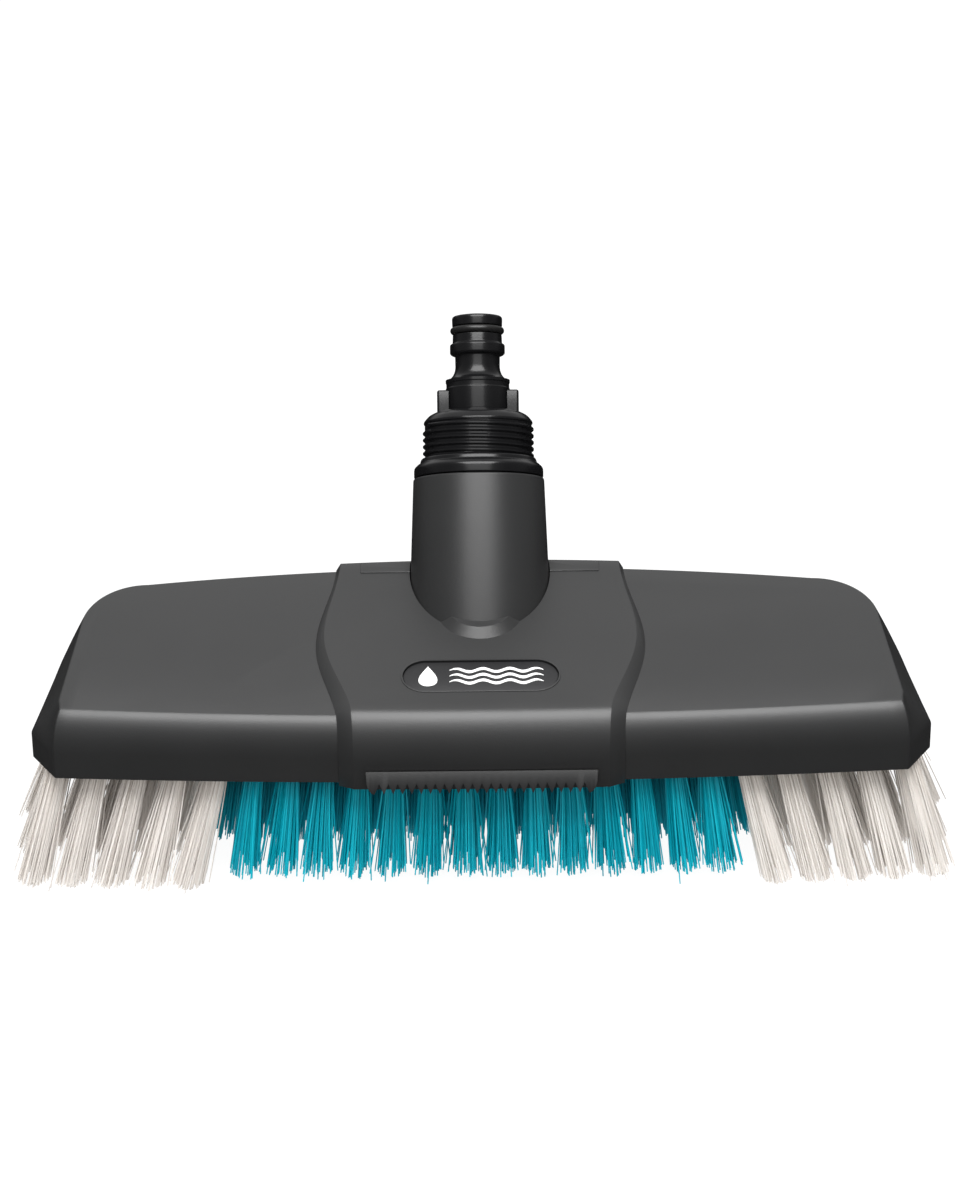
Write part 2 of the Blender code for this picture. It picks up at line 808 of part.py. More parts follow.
def make_collar(axis):
    bore = NIPPLE_STEM + CLEARANCE
    spigot = socket_radius(SOCKET_LENGTH) - SOCKET_WALL - CLEARANCE
    bottom = CONNECTOR_LENGTH + SPIGOT_DEPTH
    outer = [(0.0128, COLLAR_TOP), (0.0150, COLLAR_TOP + 0.0008), (0.0161, COLLAR_TOP + 0.0024)]
    outer += thread_profile()
    outer += [
        (0.0184, COLLAR_RING), (0.0184, COLLAR_FLANGE), (0.0203, COLLAR_FLANGE),
        (0.0203, COLLAR_FLANGE_BOTTOM), (spigot, COLLAR_FLANGE_BOTTOM), (spigot, bottom),
    ]
    inner = [(bore, bottom), (bore, COLLAR_TOP)]
    profile = [(radius, -depth) for radius, depth in outer + inner]
    collar = add_part("threaded_collar", profile_mesh("threaded_collar", profile, True), BLACK, axis)
    turn(collar)
    width, length, height = LUG_SIZE
    inside = BODY_RADIUS + CLEARANCE
    for side, name in ((-1, "left_lug"), (1, "right_lug")):
        near, far = sorted((side * inside, side * (inside + width - 0.0014)))
        low = (near, -length / 2, -COLLAR_TOP - 0.0015)
        high = (far, length / 2, -COLLAR_TOP + height)
        boolean(collar, add_cutter(name, box_mesh(name, low, high), axis), "UNION")
    return collar


# Water path.
def duct_route():
    """From above the inlet, upright at first, onto the connector's axis."""
    foot = Vector((0.0, INLET_Y, DUCT_LOW))
    top = SOCKET_LENGTH - SPIGOT_DEPTH - CLEARANCE
    start = foot + Vector((0.0, 0.0, 0.0015))
    start_pull = foot + Vector((0.0, 0.0, 0.0100))
    end_pull = axis_point(top - 0.0100)
    end = axis_point(top - 0.0015)
    steps = 10
    points = [foot]
    for i in range(steps + 1):
        t = i / steps
        point = start * (1 - t) ** 3 + start_pull * 3 * t * (1 - t) ** 2
        point += end_pull * 3 * t ** 2 * (1 - t) + end * t ** 3
        points.append(point)
    points.append(axis_point(top))
    return points


def tube_mesh(name, points, radius, stretch):
    curve = bpy.data.curves.new(name, "CURVE")
    curve.dimensions = "3D"
    curve.bevel_depth = radius
    curve.bevel_resolution = 3
    curve.use_fill_caps = True
    ends = (points[0] - points[1]).normalized(), (points[-1] - points[-2]).normalized()
    route = [points[0] + ends[0] * stretch] + points[1:-1] + [points[-1] + ends[1] * stretch]
    line = curve.splines.new("POLY")
    line.points.add(len(route) - 1)
    for point, place in zip(line.points, route):
        point.co = (*place, 1.0)
    holder = bpy.data.objects.new(name, curve)
    bpy.context.scene.collection.objects.link(holder)
    graph = bpy.context.evaluated_depsgraph_get()
    made = bpy.data.meshes.new_from_object(holder.evaluated_get(graph))
    bpy.data.objects.remove(holder, do_unlink=True)
    shape = bmesh.new()
    shape.from_mesh(made)
    bmesh.ops.remove_doubles(shape, verts=shape.verts, dist=1e-6)
    bpy.data.meshes.remove(made)
    return mesh_from(name, shape)


def make_duct():
    duct = add_part("water_duct", tube_mesh("water_duct", duct_route(), INLET_OUTER, 0.0), BLACK)
    bore = add_cutter("duct_bore", tube_mesh("duct_bore", duct_route(), NIPPLE_BORE, 0.003))
    boolean(duct, bore, "DIFFERENCE")
    seal_low = BOSS_TOP + CLEARANCE
    outer = [(INLET_OUTER, SEAL_HEIGHT), (INLET_OUTER, 0.0)]
    profile = outer + [(NIPPLE_BORE, 0.0), (NIPPLE_BORE, SEAL_HEIGHT)]
    seal = add_part("duct_seal", profile_mesh("duct_seal", profile, True), RUBBER)
    seal.location = (0.0, INLET_Y, seal_low)
    turn(seal, 20)
    return duct


def make_lid():
    half_length = TROUGH_HALF_LENGTH + LID_BORDER
    middle = strip_y(1, 2, 0.0)
    side = TROUGH_HALF_WIDTH + LID_BORDER
    branch = INLET_OUTER + LID_BORDER
    reach = INLET_Y + branch
    outline = [
        (-half_length, middle - side), (half_length, middle - side),
        (half_length, middle + side), (branch, middle + side), (branch, reach),
        (-branch, reach), (-branch, middle + side), (-half_length, middle + side),
    ]
    mesh = plate_mesh("channel_lid", outline, BLOCK_TOP + CLEARANCE, LID_TOP)
    lid = add_part("channel_lid", mesh, DARK_GREY)
    boss = post_mesh("inlet_boss", [(0.0, INLET_Y)], LID_TOP - 0.001, BOSS_TOP, INLET_OUTER)
    boolean(lid, add_cutter("inlet_boss", boss), "UNION")
    bore = post_mesh("inlet_bore", [(0.0, INLET_Y)], BLOCK_BOTTOM, BOSS_TOP + 0.002, NIPPLE_BORE)
    boolean(lid, add_cutter("inlet_bore", bore), "DIFFERENCE")
    return lid


# Block and bristles.
def row_y(row, x):
    share = x / (HALF_WIDTH - NOSE_CHAMFER[0])
    return row["y"] + row["bow"] * FRONT_BULGE * share ** 2


def white_places(row):
    """Distances from the middle of one row's white tufts, on either side."""
    first = (row["teal"] - 1) / 2 * TEAL_PITCH + WHITE_GAP
    guess = half_width_at(skirt_half(), row["y"]) - row["margin"]
    last = half_width_at(skirt_half(), row_y(row, guess)) - row["margin"]
    gaps = row["white"] - 1
    return [first + (last - first) * i / gaps for i in range(gaps + 1)]


def tufts_of(row, group):
    """Root and tip of every tuft in one group of a row."""
    if group == "teal":
        edge = (row["teal"] - 1) / 2
        places = [(i - edge) * TEAL_PITCH for i in range(row["teal"])]
        splays = [TEAL_SPLAY * x / (TEAL_PITCH * 6.5) for x in places]
        tip = TEAL_TIP_HEIGHT
    else:
        side = -1 if group == "white_left" else 1
        spots = white_places(row)
        places = [side * x for x in spots]
        gaps = len(spots) - 1
        splays = [side * (WHITE_SPLAY + row["extra"] * i / gaps) for i in range(gaps + 1)]
        tip = 0.0
    tufts = []
    for x, splay in zip(places, splays):
        y = row_y(row, x)
        drop = BLOCK_BOTTOM - tip
        mouth = Vector((x, y, BLOCK_BOTTOM))
        lean = Vector((splay, row["splay"], -1.0))
        tufts.append((mouth - lean * TUFT_ROOT_DEPTH, mouth + lean * drop))
    return tufts


def tip_radius(row, group):
    """Wide enough for each tuft to reach its neighbours at the tips."""
    if group == "teal":
        return max(TEAL_TIP_RADIUS, TEAL_PITCH * 0.6)
    spots = white_places(row)
    gaps = len(spots) - 1
    spacing = (spots[-1] - spots[0] + row["extra"] * BLOCK_BOTTOM) / gaps
    return max(WHITE_TIP_RADIUS, spacing * 0.535)


def make_tuft_row(number, row, group, material):
    """Neighbouring tufts touch at their flared tips, so a group is one body."""
    name = f"bristle_row_{number}_{group}"
    tufts = tufts_of(row, group)
    meshes = []
    for start in (0, 1):
        shape = bmesh.new()
        for root, end in tufts[start::2]:
            add_frustum(shape, end, root, tip_radius(row, group), TUFT_ROOT_RADIUS, 6)
        meshes.append(mesh_from(name if start == 0 else name + "_between", shape))
    made = add_part(name, meshes[0], material)
    boolean(made, add_cutter(name + "_between", meshes[1]), "UNION")
    return made


def tuft_hole_mesh():
    shape = bmesh.new()
    for row in ROWS:
        for group in ("white_left", "teal", "white_right"):
            for root, end in tufts_of(row, group):
                along = end - root
                share = (TUFT_ROOT_DEPTH + 0.001) / -along.z
                mouth = root + along * share
                roof = root - along * (CLEARANCE / -along.z)
                extra = CLEARANCE * 1.4
                flare = (tip_radius(row, group) - TUFT_ROOT_RADIUS) * share
                low, high = TUFT_ROOT_RADIUS + flare + extra, TUFT_ROOT_RADIUS + extra
                add_frustum(shape, mouth, roof, low, high, 6)
    return mesh_from("tuft_holes", shape)


def block_mesh():
    """A thick plate whose edge follows the inside of the housing wall."""
    lip = SKIRT_BOTTOM + LIP_HEIGHT - WALL / 2
    upright = full_outline(skirt_half(), WALL + CLEARANCE)
    leaning = full_outline(wall_half(BLOCK_TOP), WALL * 1.25 + 3 * CLEARANCE)
    shape = bmesh.new()
    rings = []
    for outline, height in ((upright, BLOCK_BOTTOM), (upright, lip), (leaning, BLOCK_TOP)):
        rings.append([shape.verts.new((x, y, height)) for x, y in outline])
    for lower, upper in zip(rings, rings[1:]):
        for i in range(len(lower)):
            shape.faces.new((lower[i - 1], lower[i], upper[i], upper[i - 1]))
    shape.faces.new(rings[0])
    shape.faces.new(rings[-1])
    return mesh_from("brush_block", shape)


def make_block():
    block = add_part("brush_block", block_mesh(), BLACK)
    boolean(block, add_cutter("tuft_holes", tuft_hole_mesh()), "DIFFERENCE")
    middle = strip_y(1, 2, 0.0)
    shape = bmesh.new()
    floor, above = BLOCK_TOP - TROUGH_DEPTH, BLOCK_TOP + 0.002
    add_box(
        shape,
        (-TROUGH_HALF_LENGTH, middle - TROUGH_HALF_WIDTH, floor),
        (TROUGH_HALF_LENGTH, middle + TROUGH_HALF_WIDTH, above),
    )
    boolean(block, add_cutter("trough", mesh_from("trough", shape)), "DIFFERENCE")
    low = (-NIPPLE_BORE, middle, floor)
    high = (NIPPLE_BORE, INLET_Y + NIPPLE_BORE, above)
    boolean(block, add_cutter("inlet_pocket", box_mesh("inlet_pocket", low, high)), "DIFFERENCE")
    step = TROUGH_HALF_LENGTH / (OUTLETS_PER_SIDE + 0.5)
    outlets = [(side * step * (i + 0.5), middle) for i in range(OUTLETS_PER_SIDE) for side in (-1, 1)]
    holes = post_mesh("water_outlets", outlets, BLOCK_BOTTOM - 0.001, BLOCK_TOP, OUTLET_RADIUS, 8)
    boolean(block, add_cutter("water_outlets", holes), "DIFFERENCE")
    head, height = SCREW_HEAD
    spots = block_screw_spots()
    shanks = post_mesh(
        "block_screw_holes", spots, BLOCK_BOTTOM - 0.001, BLOCK_TOP + 0.001, SCREW_SHANK + CLEARANCE, 12
    )
    boolean(block, add_cutter("block_screw_holes", shanks), "DIFFERENCE")
    wells = post_mesh(
        "screw_wells", spots, BLOCK_BOTTOM - 0.001, BLOCK_BOTTOM + height + 2 * CLEARANCE, head + CLEARANCE
    )
    boolean(block, add_cutter("screw_wells", wells), "DIFFERENCE")
    blind = post_mesh(
        "socket_screw_holes", socket_screw_spots(), BLOCK_TOP - 0.0062, BLOCK_TOP + 0.001,
        SCREW_SHANK + CLEARANCE, 12,
    )
    boolean(block, add_cutter("socket_screw_holes", blind), "DIFFERENCE")
    return block


# Screws.
def screw_mesh(name, length):
    """A pan head above z = 0 and a shank that reaches down to -length."""
    head, height = SCREW_HEAD
    profile = [
        (0.0, height), (head * 0.8, height), (head, height * 0.6), (head, 0.0),
        (SCREW_SHANK, 0.0), (SCREW_SHANK, -length + 0.001), (0.0, -length),
    ]
    return profile_mesh(name, profile, False)


def make_screws():
    under_block = BLOCK_BOTTOM + CLEARANCE + SCREW_HEAD[1]
    for index, (x, y) in enumerate(block_screw_spots()):
        name = f"block_screw_{index + 1}"
        screw = add_part(name, screw_mesh(name, screw_tip() - under_block), STEEL)
        screw.location = (x, y, under_block)
        screw.rotation_euler = (math.pi, 0.0, 0.0)
        turn(screw, 12)
    for index, (x, y) in enumerate(socket_screw_spots()):
        name = f"socket_screw_{index + 1}"
        length = FLOOR_TOP + CLEARANCE - BLOCK_TOP + 0.0052
        screw = add_part(name, screw_mesh(name, length), STEEL)
        screw.location = (x, y, FLOOR_TOP + CLEARANCE)
        turn(screw, 12)


def centre_on_origin():
    """Moves the whole head so that its box stands on the origin."""
    bpy.context.view_layer.update()
    graph = bpy.context.evaluated_depsgraph_get()
    low, high = Vector((1e9,) * 3), Vector((-1e9,) * 3)
    for part in PARTS.objects:
        if part.type != "MESH":
            continue
        found = part.evaluated_get(graph)
        mesh = found.to_mesh()
        for vertex in mesh.vertices:
            place = found.matrix_world @ vertex.co
            low = Vector(map(min, low, place))
            high = Vector(map(max, high, place))
        found.to_mesh_clear()
    HEAD.location = (-(low.x + high.x) / 2, -(low.y + high.y) / 2, -low.z)


clear_scene()
PARTS = make_collection("wash_brush_head")
CUTTERS = make_collection("cutters")
HEAD = bpy.data.objects.new("head_frame", None)
PARTS.objects.link(HEAD)
GREY = make_material("moulded_grey", (0.085, 0.088, 0.090), 0.45)
DARK_GREY = make_material("moulded_dark", (0.045, 0.047, 0.050), 0.5)
BLACK = make_material("moulded_black", (0.012, 0.012, 0.013), 0.25)
RUBBER = make_material("seal_rubber", (0.010, 0.010, 0.011), 0.5)
STEEL = make_material("screw_steel", (0.55, 0.56, 0.58), 0.3, 1.0)
TEAL = make_material("teal_bristle", (0.0, 0.33, 0.46), 0.4)
WHITE = make_material("white_bristle", (0.80, 0.76, 0.70), 0.5)

make_housing()
make_cover()
make_badge()
make_scraper()
make_socket()
CONNECTOR = add_axis_empty()
make_nipple(CONNECTOR)
make_nipple_ring(CONNECTOR)
make_collar(CONNECTOR)
make_duct()
make_lid()
make_block()
make_screws()
for row_number, bristle_row in enumerate(ROWS, start=1):
    make_tuft_row(row_number, bristle_row, "white_left", WHITE)
    make_tuft_row(row_number, bristle_row, "teal", TEAL)
    make_tuft_row(row_number, bristle_row, "white_right", WHITE)
centre_on_origin()
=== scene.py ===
import json
import math
import random

import bmesh
import bpy
from mathutils import Matrix, Vector


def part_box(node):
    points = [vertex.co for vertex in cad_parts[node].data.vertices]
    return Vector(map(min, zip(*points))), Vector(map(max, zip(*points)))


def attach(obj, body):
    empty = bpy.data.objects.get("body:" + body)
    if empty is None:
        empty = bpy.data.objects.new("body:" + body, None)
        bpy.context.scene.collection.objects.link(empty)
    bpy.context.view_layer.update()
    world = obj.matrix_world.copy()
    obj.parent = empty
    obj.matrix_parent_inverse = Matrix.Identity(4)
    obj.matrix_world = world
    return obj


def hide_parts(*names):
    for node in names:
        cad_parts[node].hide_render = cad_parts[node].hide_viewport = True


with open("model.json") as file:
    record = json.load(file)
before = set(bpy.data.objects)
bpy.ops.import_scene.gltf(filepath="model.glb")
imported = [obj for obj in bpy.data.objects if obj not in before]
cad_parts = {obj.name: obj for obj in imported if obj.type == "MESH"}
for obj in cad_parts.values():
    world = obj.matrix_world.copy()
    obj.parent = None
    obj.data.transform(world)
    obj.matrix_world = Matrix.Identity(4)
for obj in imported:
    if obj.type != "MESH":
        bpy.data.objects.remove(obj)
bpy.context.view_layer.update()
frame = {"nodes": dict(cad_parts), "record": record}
bpy.context.scene.view_settings.view_transform = "Standard"

# the CAD boxes place the head's ends, lip and block; reach, slopes and panel height are its own sizes
shellLow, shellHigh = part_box("housing_shell")
blockLow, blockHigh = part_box("brush_block")
halfWidth = shellHigh.x
skirtBottom = shellLow.z
frontReach = 0.039
middleY = shellLow.y + frontReach
axisTilt = math.radians(32.5)
panelSlope = math.radians(10.5)
panelLevel = 0.06342
clearance = 0.0003
weldDistance = 0.000002


# mesh helpers
def deselectAll():
    if bpy.context.object and bpy.context.object.mode != "OBJECT":
        bpy.ops.object.mode_set(mode="OBJECT")
    bpy.ops.object.select_all(action="DESELECT")


def pick(piece):
    deselectAll()
    piece.select_set(True)
    bpy.context.view_layer.objects.active = piece


def editAll(piece):
    pick(piece)
    bpy.ops.object.mode_set(mode="EDIT")
    bpy.ops.mesh.select_all(action="SELECT")


def leaveEdit():
    bpy.ops.object.mode_set(mode="OBJECT")


def applyAll(piece):
    pick(piece)
    bpy.ops.object.transform_apply(location=True, rotation=True, scale=True)
    for step in list(piece.modifiers):
        bpy.ops.object.modifier_apply(modifier=step.name)


def placeMesh(piece, matrix):
    piece.data.transform(matrix)
    piece.data.update()


def cutWith(piece, tool, operation="DIFFERENCE"):
    # the tool is used up by the cut
    step = piece.modifiers.new(operation, "BOOLEAN")
    step.operation = operation
    step.object = tool
    step.solver = "EXACT"
    pick(piece)
    bpy.ops.object.modifier_apply(modifier=step.name)
    bpy.data.objects.remove(tool, do_unlink=True)


def outward(piece):
    editAll(piece)
    bpy.ops.mesh.remove_doubles(threshold=weldDistance)
    bpy.ops.mesh.select_all(action="SELECT")
    bpy.ops.mesh.normals_make_consistent(inside=False)
    leaveEdit()


def faceOut(piece):
    # turns a closed piece right side out when its volume counts as negative
    shape = bmesh.new()
    shape.from_mesh(piece.data)
    inside = shape.calc_volume(signed=True) < 0
    shape.free()
    if inside:
        editAll(piece)
        bpy.ops.mesh.flip_normals()
        leaveEdit()


def softEdges(piece, width, segments=2, angle=30):
    step = piece.modifiers.new("soft edges", "BEVEL")
    step.width = width
    step.segments = segments
    step.limit_method = "ANGLE"
    step.angle_limit = math.radians(angle)
    step.use_clamp_overlap = True
    step.harden_normals = False
    pick(piece)
    bpy.ops.object.modifier_apply(modifier=step.name)


def finishPiece(piece, name, material, nodes, angle=35):
    pick(piece)
    bpy.ops.object.transform_apply(location=True, rotation=True, scale=True)
    bpy.ops.object.shade_smooth_by_angle(angle=math.radians(angle))
    piece.name = name
    piece.data.name = name
    piece.data.materials.clear()
    piece.data.materials.append(material)
    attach(piece, "root")
    if nodes:
        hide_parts(*nodes)
    return piece


def growRings(points, rings, fillLast=False):
    # a circle is laid on the first ring, then extruded from ring to ring
    deselectAll()
    bpy.ops.mesh.primitive_circle_add(vertices=len(points), radius=0.1)
    piece = bpy.context.object
    bpy.ops.object.mode_set(mode="EDIT")
    shape = bmesh.from_edit_mesh(piece.data)
    order = shape.verts.layers.int.new("order")
    for index, vertex in enumerate(shape.verts):
        vertex[order] = index
        vertex.co = points[index]
    bmesh.update_edit_mesh(piece.data)
    for ring in rings:
        bpy.ops.mesh.select_mode(type="EDGE")
        bpy.ops.mesh.extrude_edges_move()
        shape = bmesh.from_edit_mesh(piece.data)
        order = shape.verts.layers.int["order"]
        for vertex in shape.verts:
            if vertex.select:
                vertex.co = ring[vertex[order]]
        bmesh.update_edit_mesh(piece.data)
    if fillLast:
        bpy.ops.mesh.edge_face_add()
    leaveEdit()
    return piece


def lathe(name, profile, steps):
    # turns a line of (radius, height) round the Z axis with the spin tool
    deselectAll()
    bpy.ops.mesh.primitive_circle_add(vertices=len(profile), radius=0.01)
    piece = bpy.context.object
    bpy.ops.object.mode_set(mode="EDIT")
    shape = bmesh.from_edit_mesh(piece.data)
    for vertex, (radius, height) in zip(list(shape.verts), profile):
        vertex.co = (radius, 0.0, height)
    bmesh.update_edit_mesh(piece.data)
    bpy.ops.mesh.select_all(action="SELECT")
    bpy.ops.mesh.spin(
        steps=steps, angle=2 * math.pi, center=(0, 0, 0), axis=(0, 0, 1), use_auto_merge=True
    )
    bpy.ops.mesh.select_all(action="SELECT")
    bpy.ops.mesh.remove_doubles(threshold=weldDistance)
    bpy.ops.mesh.normals_make_consistent(inside=False)
    leaveEdit()
    faceOut(piece)
    piece.name = name
    return piece


def mix(a, b, share):
    return a + (b - a) * share


# a shader socket that takes arithmetic
class Wire:
    def __init__(self, tree, socket):
        self.tree = tree
        self.socket = socket

    def node(self, kind, settings=None, inputs=None, output=0):
        made = self.tree.nodes.new(kind)
        for name, value in (settings or {}).items():
            setattr(made, name, value)
        for name, value in (inputs or {}).items():
            if isinstance(value, Wire):
                self.tree.links.new(value.socket, made.inputs[name])
            else:
                made.inputs[name].default_value = value
        return Wire(self.tree, made.outputs[output])

    def math(self, operation, first, second):
        return self.node("ShaderNodeMath", {"operation": operation}, {0: first, 1: second})

    def __add__(self, other):
        return self.math("ADD", self, other)

    def __radd__(self, other):
        return self.math("ADD", other, self)

    def __sub__(self, other):
        return self.math("SUBTRACT", self, other)

    def __mul__(self, other):
        return self.math("MULTIPLY", self, other)

    def __rmul__(self, other):
        return self.math("MULTIPLY", other, self)

    def blendColor(self, dark, light):
        return self.node(
            "ShaderNodeMix",
            {"data_type": "RGBA", "clamp_factor": True},
            {0: self, 6: (*dark, 1.0), 7: (*light, 1.0)},
            2,
        )

    def noise(self, scale, detail=2.0, roughness=0.5):
        return self.node(
            "ShaderNodeTexNoise",
            None,
            {"Vector": self, "Scale": scale, "Detail": detail, "Roughness": roughness},
        )

    def bump(self, height, strength, distance):
        return self.node(
            "ShaderNodeBump", None, {"Height": height, "Strength": strength, "Distance": distance}
        )

    def into(self, socket):
        self.tree.links.new(self.socket, socket)


def startMaterial(name):
    material = bpy.data.materials.new(name)
    material.use_nodes = True
    tree = material.node_tree
    shader = tree.nodes["Principled BSDF"]
    place = tree.nodes.new("ShaderNodeTexCoord")
    return material, shader, Wire(tree, place.outputs["Object"])


def mouldedPlastic(name, settings):
    # satin moulded plastic: a fine spark-eroded grain, slow changes in tone, faint flow marks
    material, shader, place = startMaterial(name)
    grain = place.noise(settings["grainScale"], 3.0, 0.6)
    slow = place.noise(38.0, 3.0, 0.55)
    stretched = place.node("ShaderNodeMapping", None, {"Vector": place, "Scale": (9.0, 46.0, 30.0)})
    flow = stretched.noise(1.0, 2.0, 0.5)
    tone = slow * 0.6 + flow * 0.4
    tone.blendColor(settings["dark"], settings["light"]).into(shader.inputs["Base Color"])
    rough = settings["rough"] + (slow - 0.5) * settings["roughChange"] + (grain - 0.5) * 0.06
    rough.into(shader.inputs["Roughness"])
    place.bump(grain + slow * 0.15, settings["bump"], 0.0002).into(shader.inputs["Normal"])
    shader.inputs["Specular IOR Level"].default_value = settings["specular"]
    return material


plastics = {
    "housing": {"dark": (0.0165, 0.0167, 0.0170), "light": (0.0215, 0.0217, 0.0220), "grainScale": 2600.0,
                "rough": 0.38, "roughChange": 0.08, "bump": 0.16, "specular": 0.55},
    # the socket is the housing's grey plastic with a lighter base colour: painted light on its sides; its
    # lower specular dims the highlight
    "socket": {"dark": (0.0185, 0.0187, 0.0190), "light": (0.0235, 0.0237, 0.0240), "grainScale": 2600.0,
               "rough": 0.38, "roughChange": 0.08, "bump": 0.16, "specular": 0.36},
    # the scraper is the housing's grey plastic made darker: painted shade on its steep front face
    "scraper": {"dark": (0.0085, 0.0086, 0.0088), "light": (0.0115, 0.0116, 0.0118), "grainScale": 2600.0,
                "rough": 0.42, "roughChange": 0.08, "bump": 0.16, "specular": 0.5},
    "badge": {"dark": (0.010, 0.010, 0.011), "light": (0.014, 0.014, 0.015), "grainScale": 3200.0,
              "rough": 0.5, "roughChange": 0.05, "bump": 0.2, "specular": 0.4},
    "connector": {"dark": (0.004, 0.004, 0.0045), "light": (0.007, 0.007, 0.0075), "grainScale": 1800.0,
                  "rough": 0.20, "roughChange": 0.12, "bump": 0.08, "specular": 0.34},
    "block": {"dark": (0.010, 0.011, 0.012), "light": (0.018, 0.019, 0.020), "grainScale": 1400.0,
              "rough": 0.5, "roughChange": 0.10, "bump": 0.25, "specular": 0.35},
    "emblem": {"dark": (0.80, 0.80, 0.79), "light": (0.88, 0.88, 0.87), "grainScale": 2400.0,
               "rough": 0.4, "roughChange": 0.05, "bump": 0.05, "specular": 0.4},
    "rubber": {"dark": (0.008, 0.008, 0.008), "light": (0.014, 0.014, 0.014), "grainScale": 2200.0,
               "rough": 0.34, "roughChange": 0.10, "bump": 0.12, "specular": 0.45},
}
housingPlastic = mouldedPlastic("housing plastic", plastics["housing"])
socketLightenedPlastic = mouldedPlastic("socket plastic lightened as painted light", plastics["socket"])
scraperShadedPlastic = mouldedPlastic("scraper plastic darkened as painted shade", plastics["scraper"])
badgePlastic = mouldedPlastic("badge plastic", plastics["badge"])
connectorPlastic = mouldedPlastic("connector plastic", plastics["connector"])
blockPlastic = mouldedPlastic("block plastic", plastics["block"])
emblemPlastic = mouldedPlastic("emblem plastic", plastics["emblem"])
sealRubber = mouldedPlastic("seal rubber", plastics["rubber"])


def screwSteel():
    material, shader, place = startMaterial("screw steel")
    marks = place.noise(900.0, 4.0, 0.65)
    marks.blendColor((0.42, 0.43, 0.44), (0.60, 0.60, 0.61)).into(shader.inputs["Base Color"])
    (0.24 + marks * 0.18).into(shader.inputs["Roughness"])
    place.bump(marks, 0.1, 0.0001).into(shader.inputs["Normal"])
    shader.inputs["Metallic"].default_value = 1.0
    return material


screwMetal = screwSteel()
print("materials made")


# outlines of the housing: its lip, its upper panel and the wall between them
housing = {"wall": 0.002, "riseSteps": 18, "crease": 0.0007,
           "frontRound": math.radians(75), "rearRound": math.radians(62)}


def cornerArc(half, noseY, taper, radius, reach, bulge, steps):
    centreY = reach - bulge - radius
    centreX = -half + math.tan(taper) * (centreY - noseY) + radius / math.cos(taper)
    start = math.pi - taper
    by = (start - math.pi / 2) / steps
    return [
        (centreX + radius * math.cos(start - by * i), centreY + radius * math.sin(start - by * i))
        for i in range(steps + 1)
    ]


outline = {"frontSteps": 30, "endSteps": 6, "cornerSteps": 24, "rearSteps": 18}
skirtSizes = {"half": halfWidth, "front": frontReach, "rear": 0.0395, "corner": 0.0295,
              "frontBulge": 0.0048, "rearBulge": 0.0020, "chamfer": (0.008, 0.0133),
              "taper": math.radians(7.6)}
panelSizes = {"half": halfWidth - 0.0097, "front": frontReach - 0.0055, "rear": 0.0370, "corner": 0.0193,
              "frontBulge": 0.0048, "rearBulge": 0.0069, "chamfer": (0.0005, 0.004),
              "taper": math.radians(6.5)}


def halfOutline(sizes):
    # left half, from the middle of the front round to the middle of the back
    noseX = sizes["half"] - sizes["chamfer"][0]
    steps = outline["frontSteps"]
    points = []
    for i in range(steps + 1):
        x = noseX * i / steps
        points.append((-x, -sizes["front"] + sizes["frontBulge"] * (x / noseX) ** 2))
    noseY = points[-1][1] + sizes["chamfer"][1]
    for i in range(1, 4):
        points.append((mix(points[steps][0], -sizes["half"], i / 3), mix(points[steps][1], noseY, i / 3)))
    arc = cornerArc(sizes["half"], noseY, sizes["taper"], sizes["corner"], sizes["rear"],
                    sizes["rearBulge"], outline["cornerSteps"])
    for i in range(1, outline["endSteps"]):
        share = i / outline["endSteps"]
        points.append((mix(-sizes["half"], arc[0][0], share), mix(noseY, arc[0][1], share)))
    points += arc
    for i in range(outline["rearSteps"] - 1, -1, -1):
        share = i / outline["rearSteps"]
        points.append((arc[-1][0] * share, sizes["rear"] - sizes["rearBulge"] * share ** 2))
    return points


skirtHalf = halfOutline(skirtSizes)
panelHalf = halfOutline(panelSizes)
frontLast = outline["frontSteps"]
endLast = frontLast + 3 + outline["endSteps"] - 1
cornerLast = endLast + outline["cornerSteps"] + 1
lipTop = skirtBottom + 0.008


def panelHeight(y):
    return panelLevel + math.tan(panelSlope) * y


def roundness(index):
    if index <= frontLast:
        return 1.0
    if index <= endLast:
        return 0.0
    return min(0.75, 0.75 * (index - endLast) / (outline["cornerSteps"] * 0.9))


def climb(share, amount):
    # how far in and how far up a wall has come; the straight walls start with a soft fold
    full = housing["frontRound"] if amount > 0.9 else housing["rearRound"]
    angle = share * full
    fold = 0.10
    if share < 0.34:
        part = share / 0.34
        inStraight = 0.30 * part ** 2
        upStraight = 2 * part * (1 - part) * fold + part ** 2 * (fold + (1 - fold) * 0.30)
    else:
        part = (share - 0.34) / 0.66
        inStraight = mix(0.30, 1.0, part)
        upStraight = mix(fold + (1 - fold) * 0.30, 1.0, part)
    inRound = (1 - math.cos(angle)) / (1 - math.cos(full))
    return mix(inStraight, inRound, amount), mix(upStraight, math.sin(angle) / math.sin(full), amount)


def wallRing(share):
    ring = []
    for i, ((lowX, lowY), (highX, highY)) in enumerate(zip(skirtHalf, panelHalf)):
        across, up = climb(share, roundness(i))
        top = panelHeight(highY)
        ring.append((mix(lowX, highX, across), mix(lowY, highY, across) + middleY, mix(lipTop, top, up)))
    return ring


def bothHalves(ring):
    return ring + [(-x, y, z) for x, y, z in reversed(ring[1:-1])]


# housing and the frames that the other pieces share
def socketAxis():
    # place of the socket's foot on the cover, and the frame whose Z runs up the socket
    foot = Vector((0.0, middleY + 0.0323, panelHeight(0.0323) + 0.0025 / math.cos(panelSlope)))
    return Matrix.Translation(foot) @ Matrix.Rotation(-axisTilt, 4, "X")


def socketRadius(distance):
    return 0.0216 - (0.0216 - 0.02055) / 0.0285 * distance


